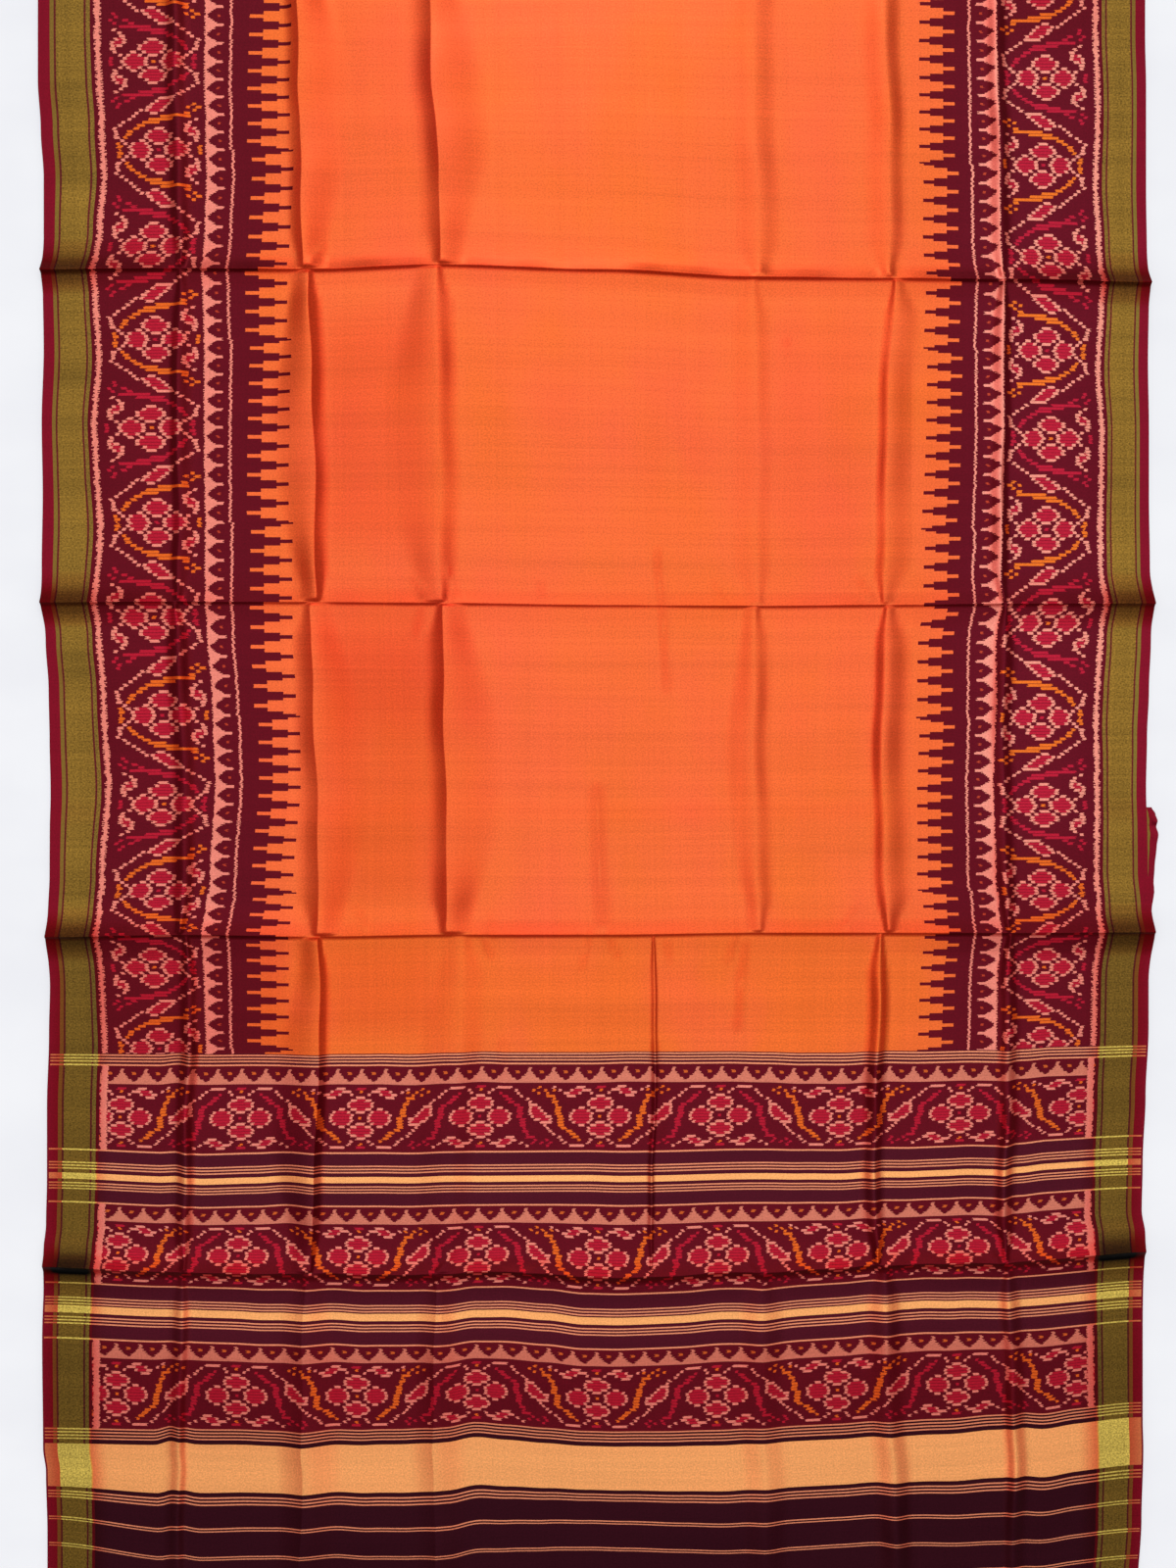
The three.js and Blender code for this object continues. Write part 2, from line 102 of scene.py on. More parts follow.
# The cloth's sides: along, left, right
sides = np.array([
    (0, -572, 557), (71, -572, 561), (137, -573.5, 563), (162, -576.5, 562.3), (264, -577.5, 562.3),
    (340, -575.5, 563.3), (365, -575.5, 564.3), (391, -573.5, 561.3), (442, -572.5, 562.3),
    (518, -572.5, 565.3), (594, -570.4, 568.4), (645, -569.4, 568.4), (695, -572.5, 573),
    (721, -571.4, 571), (760, -569.8, 567.5),
    (848, -569.4, 566.4), (898, -570.4, 567.4), (949, -571.4, 569.4), (1000, -574.5, 571.4),
    (1038, -577.5, 573), (1076, -578.6, 570.4), (1152, -577.5, 569.4), (1228, -578.6, 569.4),
    (1304, -576.5, 568.4), (1380, -577.5, 569.4), (1406, -576.5, 567.4), (1482, -576.5, 566.4),
    (1533, -579.6, 566.4), (1583, -582.6, 566.4), (1634, -582.6, 565.4), (1980, -579, 567), (2344, -581, 566),
], float)

# Where a weft thread's drift is measured: the left edge, the folds, the middle and the right edge
foldPlaces = np.array([0, 140, 276, 412, 574, 739, 866, 990, 1140], float)
# Along, then how far the thread drifts at each of them
weftDrift = np.array([
    (0, 6, -11, -10, -8, 0, 0, 4, 6, 18),
    (64, 5, -11, -11, -8, 0, 0, 4, 6, 18),
    (166, 3, 2, -3, 4, 0, 5, 9, 17, 28),
    (297, 12, 8, 0, 3, 0, 5, 11, 18, 28),
    (444, 3, -3, -2, -1, 0, 3, 5, 11, 18),
    (575, -1, -2, -3, 0, 0, 1, 3, 5, 7),
    (697, -2, 0, -2, 0, 0, 2, 2, 2, 3),
    (1038, 2, 3, 3, 2, 0, -1, 0, 1, 1),
    (1385, -2, 0, 0, 5, 0, -8, -9, -11, -15),
    (1640, 0, 0, -1, -2, 0, -4, -6, -7, -7),
    (turnStart, 0, 0, 0, 0, 0, 0, 0, 0, 0),
], float)

# In the end piece the weft also waves between those places: along, then how far it slips back
wavePlaces = np.array([0, 115, 135, 160, 216, 257, 297, 338, 379, 419, 450, 480, 521, 562, 602, 663, 704, 745,
                       786, 826, 867, 907, 948, 989, 1010, 1040, 1070, 1140], float)
weftWaves = np.array([
    (0, 0, 0, -3, 0, -1, -2, -3, 0, 1, 0, -4, -3, -1, 0, 1, 2, 3, 2, 1, 0, -1, 0, 1, 0, -1, 1, 0, -1),
    (145, 0, 1, -4, 0, -2, -2, -4, -1, 1, -1, -6, -4, -2, 0, 1, 3, 4, 2, 1, 1, -1, 0, 2, 0, -2, 2, 0, -2),
    (301, 0, 1, 1, 1, -1, -3, -4, -1, 0, 0, -4, -5, -3, 1, 2, 2, 0, 1, -1, -1, -3, -3, 0, 2, 1, 1, 1, 0),
    (447, 0, -1, -2, 1, 0, -2, 0, 0, 1, -1, 0, 0, 0, 0, 1, 1, 1, 1, 2, 3, 1, 2, 3, 5, 3, 1, 1, 1),
    (545, 0, 0, -2, 0, -1, -1, -1, 0, 2, 0, -1, 0, 0, 0, -1, 0, 0, 1, 3, 4, 2, 3, 3, 4, 2, 0, 0, -1),
    (640, *[0] * 28),
], float)

# Crosswise creases: along, height at the left edge, the middle and the right edge, width on each side
creases = [
    (345, 6.5, 6, 7.5, 34, 38), (697, 7, 4, 7.5, 26, 30), (1038, 8, 3.5, 8, 24, 32),
    (1385, 8.5, 4.5, 8, 22, 34), (1730, 7.5, 4, 8, 24, 30), (2075, 8, 4.5, 7, 26, 30),
]
lips = [  # the pressed lip on each: height, width, how dark the painted shadow beside it is, over what width
    (3.8, 7.0, 0.24, 11.0), (2.2, 3.0, 0.12, 3.2), (1.7, 2.8, 0.12, 3.2), (2.7, 2.6, 0.18, 3.4),
    (2.0, 3.0, 0.12, 3.2), (2.0, 3.0, 0.12, 3.2),
]

# Lengthwise folds between them: fold, across at the near and the far side, height, width on each side,
# and which side rises sharply to the crest: left, right, both sides alike (b)
folds = [
    [("first", 135, 146, 2.6, 12, 8, "b"), ("second", 262, 273, 3.6, 26, 50, "l"),
     ("third", 404, 406, 3.0, 22, 40, "l"), ("fifth", 748, 744, 2.4, 24, 24, "b"),
     ("sixth", 886, 870, 3.6, 20, 18, "b"), ("seventh", 1009, 1000, 3.4, 10, 14, "b")],
    [("first", 146, 145, 4.0, 12, 9, "b"), ("second", 279, 282, 6.0, 50, 9, "r"),
     ("third", 416, 428, 2.8, 50, 26, "b"), ("middle", 631, 627, 1.8, 5, 3, "b"),
     ("sixth", 861, 858, 5.0, 12, 10, "b"),
     ("seventh", 996, 993, 4.0, 10, 12, "b")],
    [("first", 141, 138, 4.4, 14, 12, "b"), ("second", 280, 275, 5.8, 22, 60, "l"),
     ("third", 412, 411, 7.0, 20, 64, "l"),
     ("fifth", 733, 730, 3.2, 30, 18, "b"), ("sixth", 865, 866, 5.0, 12, 27, "b"),
     ("seventh", 990, 988, 4.0, 12, 12, "b")],
    [("first", 141, 142, 3.8, 10, 14, "b"), ("second", 284, 276, 6.6, 46, 14, "r"),
     ("third", 410, 406, 4.7, 60, 20, "b"), ("fifth", 736, 734, 1.4, 26, 16, "b"),
     ("sixth", 864, 878, 3.6, 11, 29, "b"), ("seventh", 986, 989, 4.0, 12, 10, "b")],
    [("first", 143, 140, 3.8, 12, 12, "b"), ("second", 269, 267, 6.2, 15, 56, "l"),
     ("third", 410, 404, 6.2, 20, 58, "l"), ("fifth", 738, 737, 2.3, 28, 24, "b"),
     ("sixth", 874, 872, 3.5, 26, 17, "b"), ("seventh", 988, 986, 3.8, 12, 12, "b")],
    [("first", 141, 144, 3.6, 10, 12, "b"), ("second", 276, 273, 5.0, 44, 18, "r"),
     ("third", 409, 411, 5.5, 46, 24, "b"), ("fifth", 738, 742, 3.4, 14, 14, "b"),
     ("sixth", 872, 868, 4.6, 11, 13, "b"), ("seventh", 992, 988, 3.8, 10, 12, "b")],
    [("first", 142, 141, 3.4, 12, 10, "b"), ("second", 272, 275, 5.6, 20, 54, "l"),
     ("third", 410, 412, 6.6, 22, 60, "l"), ("fifth", 741, 738, 4.4, 18, 19, "b"),
     ("sixth", 870, 868, 5.0, 11, 16, "b"), ("seventh", 989, 991, 3.6, 12, 12, "b")],
]
panelEnds = np.array([0, *[row[0] for row in creases], cloth["laid"]], float)

# Small wrinkles: across and along at both ends, height, width
wrinkles = [
    (573, 702, 568, 850, 1.5, 11), (145, 344, 162, 363, 1.3, 7), (259, 364, 269, 343, 1.3, 7),
    (383, 364, 394, 343, 1.3, 7), (404, 342, 420, 360, 1.1, 6), (500, 343, 520, 356, 1.0, 6),
    (738, 343, 722, 360, 1.1, 6), (872, 343, 890, 361, 1.1, 7), (990, 343, 975, 362, 1.1, 7),
    (513, 1061, 514, 1040, 0.7, 5), (633, 1096, 640, 950, 0.9, 6), (457, 715, 460, 694, 0.8, 5),
    (579, 698, 589, 674, 1.0, 6), (638, 692, 643, 668, 0.8, 5), (710, 697, 702, 667, 0.9, 6),
    (720, 690, 713, 598, 1.1, 6), (766, 1322, 768, 1306, 0.6, 4), (381, 1064, 397, 1040, 1.0, 6),
    (389, 1036, 381, 1005, 1.0, 6), (418, 1075, 426, 1041, 0.9, 6), (450, 695, 458, 674, 0.9, 5),
    (628, 585, 640, 480, 0.9, 7), (470, 588, 476, 520, 0.6, 7),
    (560, 700, 552, 660, 0.6, 5), (850, 1044, 838, 1066, 0.8, 6), (276, 1388, 290, 1412, 0.8, 7),
    (700, 1040, 690, 1062, 0.5, 5), (330, 704, 318, 726, 0.7, 6), (820, 700, 836, 724, 0.6, 6),
]

# Broad shallow waves: across, along, half width, half length, height
swells = [
    (650, 1190, 34, 90, -1.6), (560, 1560, 60, 90, 1.2), (345, 1200, 50, 130, 1.5), (340, 890, 46, 120, 1.6),
    (500, 880, 60, 110, 1.1), (660, 880, 60, 110, -1.0), (800, 900, 40, 120, 1.3), (800, 1210, 45, 130, 1.2),
    (500, 1220, 50, 120, 1.3), (345, 1560, 48, 120, 1.4), (690, 1560, 55, 120, 1.2), (80, 890, 36, 120, 1.3),
    (80, 1210, 36, 120, 1.3), (1060, 890, 36, 120, 1.3), (1060, 1210, 36, 120, 1.3),
    (190, 1210, 36, 130, 1.1),
    (940, 1210, 34, 130, 1.1), (190, 890, 36, 130, 1.1), (940, 890, 34, 130, 1.1), (590, 630, 120, 40, 1.0),
    (330, 460, 60, 80, 1.4), (650, 450, 70, 70, 1.3), (930, 460, 60, 80, 1.3), (520, 250, 80, 60, 1.4),
    (200, 240, 60, 60, 1.3), (860, 240, 70, 60, 1.4), (340, 90, 70, 50, 1.3), (700, 90, 80, 50, 1.3),
    (1020, 100, 60, 50, 1.2), (345, 1900, 60, 120, 1.3), (560, 1900, 60, 120, 1.2), (800, 1900, 50, 120, 1.2),
    (450, 2200, 70, 90, 1.2), (760, 2200, 70, 90, 1.2),
]
softForms = {"wrinkleEnd": 12, "swellFall": 1.6}  # length of a wrinkle's end, and how fast a wave falls away

# Painted light and shade: where the silk's colour is painted brighter or darker, standing in for its sheen
# and for shade: across, along, half width, half length, change
paintedShadingSpots = [
    (345, 1215, 60, 120, -0.12), (345, 870, 62, 140, -0.11), (348, 985, 54, 75, -0.08),
    (340, 1540, 70, 130, -0.04), (345, 640, 60, 44, -0.09), (150, 625, 100, 60, -0.12),
    (570, 636, 330, 40, -0.02), (800, 1200, 50, 140, -0.03), (1030, 1210, 85, 420, 0.12),
    (1132, 1210, 9, 400, 0.1), (570, 216, 570, 45, -0.05), (570, 150, 600, 130, -0.04),
    # the tissue stripes
    (31, 1568, 16, 13, -0.16), (31, 1497, 16, 16, -0.14), (31, 1460, 16, 26, 0.08), (31, 1279, 16, 12, -0.14),
    (31, 1120, 16, 30, 0.08), (31, 974, 16, 16, -0.24), (31, 751, 16, 18, -0.12), (31, 345, 24, 345, -0.34),
    (1108, 1592, 16, 14, -0.13), (1108, 1545, 16, 12, -0.16), (1108, 1180, 16, 20, -0.1),
    (1108, 1080, 16, 30, 0.1), (1108, 840, 16, 24, -0.08), (1108, 345, 24, 345, -0.34),
]
paintedShadingEdge = (50, 70)  # a large spot's edge is this soft, across and along
tissueCreaseShade = {"width": 56, "fade": 12, "reach": 25, "flat": 1.15, "change": -0.55}  # painted shade on the tissue stripes beside each crease
lipShadow = {"start": 6, "end": 2, "gap": 0.2}  # how sharply the painted shadow beside a lip starts and ends


def smooth(x):
    c = np.clip(x, 0, 1)
    return c * c * (3 - 2 * c)


def readTable(table, at):  # every column after the first, smoothly between the rows
    places = table[:, 0]
    at = np.clip(at, places[0], places[-1])
    low = np.clip(np.searchsorted(places, at, side="left") - 1, 0, len(places) - 2)
    share = smooth((at - places[low]) / (places[low + 1] - places[low]))[..., None]
    return table[low, 1:] * (1 - share) + table[low + 1, 1:] * share


def readAcross(rows, places, s):  # one value a row, smoothly between the places across
    after = np.clip(np.searchsorted(places, s, side="left"), 1, len(places) - 1)
    low = np.take_along_axis(rows, (after - 1)[..., None], -1)[..., 0]
    high = np.take_along_axis(rows, after[..., None], -1)[..., 0]
    share = smooth((s - places[after - 1]) / (places[after] - places[after - 1]))
    return low * (1 - share) + high * share


def driftAt(s, t):
    waves = readAcross(readTable(weftWaves, t), wavePlaces, s)
    return readAcross(readTable(weftDrift, t), foldPlaces, s) - waves


def swing(at, *waves):  # a few waves added up: height, length, phase
    return sum(height * np.sin(at / length + phase) for height, length, phase in waves)


def grown(least, way):  # from the least share to the whole
    return least + (1 - least) * smooth(way)


def ridge(offset, before, after):
    share = np.clip(1 - np.abs(offset) / np.where(offset < 0, before, after), 0, 1)
    return share ** cloth["crestPower"]


def foldForm(offset, left, right, kind):  # one side may rise sharply, the others are rounded
    share = np.clip(1 - np.abs(offset) / np.where(offset < 0, left, right), 0, 1)
    isSharp = (offset < 0) & (kind == "l") | (offset >= 0) & (kind == "r")
    return np.where(isSharp, share ** cloth["sharpPower"], smooth(share))


def panelOf(t):
    return np.clip(np.searchsorted(panelEnds, t, side="left") - 1, 0, len(folds) - 1)


def creaseHeight(s, t):  # a gentle rise, lowest in the middle, with a sharp pressed lip on its crest
    height = np.zeros_like(s)
    half = cloth["width"] / 2
    start, way = cloth["edgeRise"]
    fromMiddle = smooth((np.abs(s - half) / half - start) / way)
    for (at, left, middle, right, near, far), (lip, lipWidth, _, _) in zip(creases, lips):
        side = np.where(s < half, left, right)
        rise = cloth["middleRise"] * middle * (1 - fromMiddle) + (side - lip) * fromMiddle
        height += rise * ridge(t - at, near, far)
        uneven = 1 + swing(s, (0.2, 61, at), (0.14, 23, 2 * at), (0.1, 9, 3 * at))
        height += lip * uneven * ridge(t - at, lipWidth, cloth["lipFall"])
    return height


def wander(nominal, t):  # a pressed fold never runs quite straight
    return swing(t, (1.3, 47, nominal), (0.7, 19, 2 * nominal))


def foldHeight(s, t):
    panel = panelOf(t)
    start = panelEnds[panel]
    end = panelEnds[panel + 1]
    toEnd = np.minimum(np.where(panel == 0, crossing["open"], t - start), end - t)
    least, way = crossing["low"]
    fade = smooth(toEnd / crossing["fade"]) * grown(least, toEnd / way)
    narrow, wide = [grown(least, toEnd / way) for least, way in (crossing["pinch"], crossing["slowPinch"])]
    height = np.zeros_like(s)
    for number, rows in enumerate(folds):
        here = panel == number
        for _, near, far, crest, left, right, kind in rows:
            line = near + (far - near) * (t - start) / (end - start) + wander(near, t)
            pinchLeft = narrow if left < crossing["wide"] else wide
            pinchRight = narrow if right < crossing["wide"] else wide
            form = foldForm((s - line) / np.where(s < line, pinchLeft, pinchRight), left, right, kind)
            uneven = 1 + swing(t, (0.16, 41, near), (0.1, 15, far))
            height += np.where(here, crest * fade * uneven * form, 0)
    return height * smooth((turnStart - t) / cloth["turnFade"])


def smallForms(s, t):
    height = np.zeros_like(s)
    for s1, t1, s2, t2, crest, width in wrinkles:
        length = math.hypot(s2 - s1, t2 - t1)
        along = ((s - s1) * (s2 - s1) + (t - t1) * (t2 - t1)) / length
        beside = ((s - s1) * (t2 - t1) - (t - t1) * (s2 - s1)) / length
        ends = smooth(along / softForms["wrinkleEnd"] + 0.5)
        ends = ends * smooth((length - along) / softForms["wrinkleEnd"] + 0.5)
        height += crest * ends * ridge(beside, width, width)
    for s0, t0, halfWidth, halfLength, crest in swells:
        away = ((s - s0) / halfWidth) ** 2 + ((t - t0) / halfLength) ** 2
        height += crest * np.exp(-away * softForms["swellFall"])
    return height


def faceHeight(s, t):
    stepAt = (t - cloth["hiddenEnd"] + cloth["layerStep"] / 2) / cloth["layerStep"]
    share = smooth(stepAt)
    stack = cloth["twoLayers"] * (1 - share) + cloth["oneLayer"] * share + cloth["gap"] + cloth["wall"]
    droop = cloth["endDroop"] * np.maximum(0, 1 - t / cloth["hiddenFrom"])
    calm = smooth((turnStart - t) / cloth["turnFade"])
    return stack - droop + creaseHeight(s, t) + foldHeight(s, t) + smallForms(s, t) * calm


def clothPoint(s, t, depth):  # millimetres, before the shift to the frame's origin
    s = np.asarray(s, float)
    t = np.asarray(t, float)
    edge = readTable(sides, t)
    x = edge[..., 0] + (edge[..., 1] - edge[..., 0]) * s / cloth["width"]
    flat = np.stack([x, t + driftAt(s, t), faceHeight(s, t) - depth], -1)
    angle = (t - turnStart) / turnRadius
    radius = turnRadius - depth
    bent = np.stack([x, turnStart + radius * np.sin(angle), turnRadius + radius * np.cos(angle)], -1)
    return np.where((t <= turnStart)[..., None], flat, bent)


# The frame's origin lies under the middle of the laid-out cloth
cornerTip = clothPoint(*[np.array([value]) for value in cloth["cornerTip"]], 0)[0]
shiftX = cadHigh.x * 1000 - cornerTip[0]
shiftY = cadHigh.y * 1000 - (turnStart + turnRadius * math.sin(math.radians(cloth["turnTip"])))
shift = np.array([shiftX, shiftY, 0])


def placed(points):
    return (points + shift) / 1000


# Painted light and shade: how much brighter or darker the silk's colour is painted, in soft spots, on the
# tissue beside each crease, and as a painted shadow beside each pressed lip
def paintedShadingAt(s, t):
    value = np.ones_like(s)
    for s0, t0, halfWidth, halfLength, change in paintedShadingSpots:
        beside = smooth((halfWidth - np.abs(s - s0)) / min(halfWidth, paintedShadingEdge[0]) + 0.5)
        along = smooth((halfLength - np.abs(t - t0)) / min(halfLength, paintedShadingEdge[1]) + 0.5)
        value += change * beside * along
    fromEdge = np.minimum(s, cloth["width"] - s)
    nearEdge = smooth((tissueCreaseShade["width"] - fromEdge) / tissueCreaseShade["fade"])
    for (at, *_), (_, _, lipShadowDepth, reach) in zip(creases, lips):
        nearCrease = smooth(tissueCreaseShade["flat"] - np.abs(t - at) / tissueCreaseShade["reach"])
        value += tissueCreaseShade["change"] * nearEdge * nearCrease
        # a painted shadow beside the pressed lip
        ends = smooth(lipShadow["end"] * (at - lipShadow["gap"] - t))
        value -= lipShadowDepth * smooth(lipShadow["start"] * (t - at + reach) / reach) * ends
    return value


def tiltAt(s, t):  # 0 where the cloth lies flat, 1 on its steep sides, where painted shade makes it darker and redder, standing in for both shade and the weft's red showing
    step = tilting["step"]
    across = faceHeight(s + step, t) - faceHeight(s - step, t)
    along = faceHeight(s, t + step) - faceHeight(s, t - step)
    return np.clip(np.hypot(across, along) / (2 * step * tilting["full"]), 0, 1)


# Lines of the mesh: close together beside a fold, and a few millimetres apart elsewhere
mesh = {
    "step": 5.0,
    "beside": [0.7, 1.6, 3, 5, 7.5, 11, 16, 22, 30],
    "least": 0.6,
    "same": 0.01,             # two places closer than this are one
    "turnSteps": 12,
    "sameFold": 30,           # a column follows a fold that lies this close to its own place
    "bend": 12,               # beside a crease it bends over from one panel's fold to the next one's
}
columnFolds = [("first", 140), ("second", 276), ("third", 412), ("middle", 566), ("middle", 630),
               ("fifth", 739), ("sixth", 866), ("seventh", 990)]


def stations(start, end, centres, step, beside, keep=()):
    places = {start, end, *keep}
    for centre in centres:
        places.update(p for b in beside for p in (centre - b, centre + b) if start < p < end)
        if start < centre < end:
            places.add(centre)
    tidy = []
    for place in sorted(places):
        isClose = tidy and place - tidy[-1] < mesh["least"]
        if isClose and place != end and place not in keep:
            continue
        if isClose:
            tidy.pop()
        tidy.append(place)
    lines = []
    for low, high in zip(tidy, tidy[1:]):
        count = max(1, round((high - low) / step))
        lines.extend(low + (high - low) * i / count for i in range(count))
    return np.array([*lines, end])


def crestLine(number, t):  # where a group of columns lies at each place along
    name, nominal = columnFolds[number]
    line = np.full(t.shape, float(nominal))

    def inPanel(panel, at):
        for row in folds[panel]:
            if row[0] == name and abs(row[1] - nominal) < mesh["sameFold"]:
                share = (at - panelEnds[panel]) / (panelEnds[panel + 1] - panelEnds[panel])
                return row[1] + (row[2] - row[1]) * share + wander(row[1], at)
        return np.full(np.shape(at), float(nominal))

    panel = panelOf(t)
    for one in range(len(folds)):
        here = panel == one
        line[here] = inPanel(one, t[here])
    for one, end in enumerate(panelEnds[1:-1]):
        near = np.abs(t - end) < mesh["bend"]
        share = smooth((t[near] - end) / (2 * mesh["bend"]) + 0.5)
        line[near] = inPanel(one, end) * (1 - share) + inPanel(one + 1, end) * share
    return line


seams = (cloth["borderSeam"], cloth["width"] - cloth["borderSeam"])


def columnsAt(nominal, t):  # the columns' true places, following the folds
    knots = sorted([(place, None) for place in (0.0, *seams, cloth["width"])] +
                   [(float(at), number) for number, (_, at) in enumerate(columnFolds)])
    lines = [np.full(t.shape, place) if number is None else crestLine(number, t) for place, number in knots]
    lines = np.stack(lines, 1)
    places = [place for place, _ in knots]
    return np.array([np.interp(nominal, places, row) for row in lines])


nominalColumns = stations(0.0, cloth["width"], [at for _, at in columnFolds], mesh["step"], mesh["beside"],
                          keep=(*seams, 2.0, cloth["width"] - 2.0))
flatRows = stations(0.0, turnStart, [row[0] for row in creases], mesh["step"], mesh["beside"],
                    keep=(cloth["bandSeam"], cloth["pallu"], cloth["nearEnd"]))
turnRows = turnStart + math.pi * turnRadius * np.arange(1, mesh["turnSteps"] + 1) / mesh["turnSteps"]
allRows = np.concatenate([flatRows, turnRows])
print("cloth lines", len(allRows), "by", len(nominalColumns))

# How the border lies, which is never quite straight: along, then the peach line's and the temple row's
# place from the left edge, then from the right edge
borderLines = np.array([
    (0, 53, 158, 51, 155), (575, 58, 163, 57, 157.5), (660, 53.5, 160, 56, 157), (697, 52, 160, 55, 157),
    (760, 54.5, 167, 53, 158), (850, 60.5, 171.5, 51, 159), (930, 57, 170, 54, 158.5),
    (1000, 55, 167, 52, 160), (1038, 55, 168, 50, 156), (1110, 60, 168, 50.5, 153),
    (1180, 55.5, 167, 49, 150.5), (1225, 54, 167.5, 48.5, 150), (1290, 57, 166, 51.5, 150),
    (1360, 54, 165, 49, 149.5),
    (1385, 53.5, 164.5, 48.5, 149.5), (1430, 58, 166.5, 49.5, 152), (1485, 62.5, 168.5, 52, 152),
    (1560, 63.5, 171, 49.5, 153), (1640, 61, 172, 51, 154), (1900, 58, 170, 50, 153),
    (2344, 58, 170, 50, 153),
], float)
flowers = {  # their centres down the photo: across, on the left border, on the right border
    "across": 110.0,
    "left": [62, 152, 251, 346, 436, 533, 630, 730, 820.5, 909, 987, 1070],
    "right": [79.5, 168, 262, 357, 447, 540, 636, 732.5, 822, 909, 987, 1069],
    "pitchNear": 84,          # before the first and after the last of them
    "pitchFar": 95.5,
    "near": -300,
    "beyond": 12,             # how many more there are past the photo's top
}
weaveAcross = np.array([0, 58.2, 171.2, 198.1, 259.5])  # peach line, temple row, thin line, tips of the teeth
weaveBeyond = {"left": (26.9, 88.3), "right": (28.4, 79.6)}  # from the temple row to the last two of them


def fromPhoto(y):  # along the cloth, for a place down the photo at its middle column
    return (photo["edgeRow"] - y) * photo["scale"]


def acrossWeave(s, t):  # distance from the nearer edge in the border's own measure
    fromEdge = np.minimum(s, cloth["width"] - s)
    isLeft = s < cloth["width"] / 2
    lines = readTable(borderLines, t)
    peach = np.where(isLeft, lines[..., 0], lines[..., 2])
    temple = np.where(isLeft, lines[..., 1], lines[..., 3])
    beyond = [np.where(isLeft, left, right) for left, right in zip(*weaveBeyond.values())]
    knots = [np.zeros_like(peach), peach, temple, temple + beyond[0], temple + beyond[1]]
    result = weaveAcross[-1] + (fromEdge - knots[-1])
    for low in range(len(knots) - 2, -1, -1):
        share = (fromEdge - knots[low]) / (knots[low + 1] - knots[low])
        value = weaveAcross[low] + (weaveAcross[low + 1] - weaveAcross[low]) * share
        result = np.where(fromEdge < knots[low + 1], value, result)
    return result


def flowerPhase(s, t):  # counts the border's flowers, even ones with the vine on their inner side
    result = np.zeros_like(s)
    isLeft = s < cloth["width"] / 2
    across = flowers["across"]
    for side, place, here in (("left", across, isLeft), ("right", cloth["width"] - across, ~isLeft)):
        heights = fromPhoto(np.array(flowers[side], float))
        heights = heights - driftAt(np.full(heights.shape, place), heights)
        last = len(heights) - 1
        top = heights[0] + flowers["beyond"] * flowers["pitchFar"]
        knots = np.concatenate([[flowers["near"]], heights[::-1], [top]])
        first = last + (heights[-1] - flowers["near"]) / flowers["pitchNear"]
        counts = np.concatenate([[first], np.arange(last, -1, -1), [-flowers["beyond"]]])
        result = np.where(here, np.interp(t, knots, counts), result)
    return result


# Bake layout: the face fills most of the square, in one or two parts, then the underside and the rim
layout = {
    "margin": 0.004,
    "face": (0.93, 0.955),    # room across and up
    "between": 0.008,
    "under": (0.94, 0.055),   # first place and width
    "rim": (0.97, 0.02),      # first place and height
    "rimLength": 0.99,
}


def spread(values):  # 0 at the first, 1 at the last
    return (values - values[0]) / (values[-1] - values[0])


def facePlaces(u, v, part, parts, split):
    wide, tall = layout["face"]
    if split == "along":
        wide = wide / parts
        u = part * wide + u * (wide - layout["between"])
        v = v * tall
    else:
        tall = tall / parts
        u = u * (wide - layout["between"])
        v = part * tall + v * (tall - layout["between"])
    return np.stack([u, v], -1) + layout["margin"]


def rimPlaces(count):  # 0 to 1 round the rim, and 0 or 1 from its upper to its lower line
    place = np.arange(count) / count
    after = place + 1 / count
    return np.stack([place, place, after, after], -1).reshape(-1), np.tile([0.0, 1.0, 1.0, 0.0], count)


def gridFaces(high, wide):  # the quads of a grid, and the ring of vertices round it
    index = np.arange(high * wide).reshape(high, wide)
    quads = np.stack([index[:-1, :-1], index[:-1, 1:], index[1:, 1:], index[1:, :-1]], -1).reshape(-1, 4)
    rim = np.concatenate([index[0, :], index[1:, -1], index[-1, -2::-1], index[-2:0:-1, 0]])
    return quads, rim


def bandFaces(upper, lower):  # quads between two rings
    return np.stack([upper, lower, np.roll(lower, -1), np.roll(upper, -1)], -1)


def shellFaces(high, wide):  # face, underside and rim of a thin sheet
    quads, rim = gridFaces(high, wide)
    under = quads[:, ::-1] + high * wide
    return np.concatenate([quads, under, bandFaces(rim, rim + high * wide)]), len(quads) * 4, rim


def clothMesh(name, points, faces, own, s, t, bake, border=None):  # own: each corner's place in s and t
    data = bpy.data.meshes.new(name)
    data.from_pydata(placed(points).tolist(), [], faces.tolist())
    maps = {
        "weave": (s / 1000, t / 1000),
        "border": border or (acrossWeave(s, t) / 1000, flowerPhase(s, t)),
        # painted light and shade, and the slope that sets the painted shade on steep sides
        "paintedShading": (paintedShadingAt(s, t), tiltAt(s, t)),
    }
    maps = {label: np.stack([first.reshape(-1), second.reshape(-1)], -1)[own]
            for label, (first, second) in maps.items()}
    for label, values in {"OFBake": bake, **maps}.items():
        layer = data.uv_layers.new(name=label)
        layer.data.foreach_set("uv", values.astype(np.float32).reshape(-1))
    data.polygons.foreach_set("use_smooth", np.ones(len(data.polygons), bool))
    data.update()
    return data


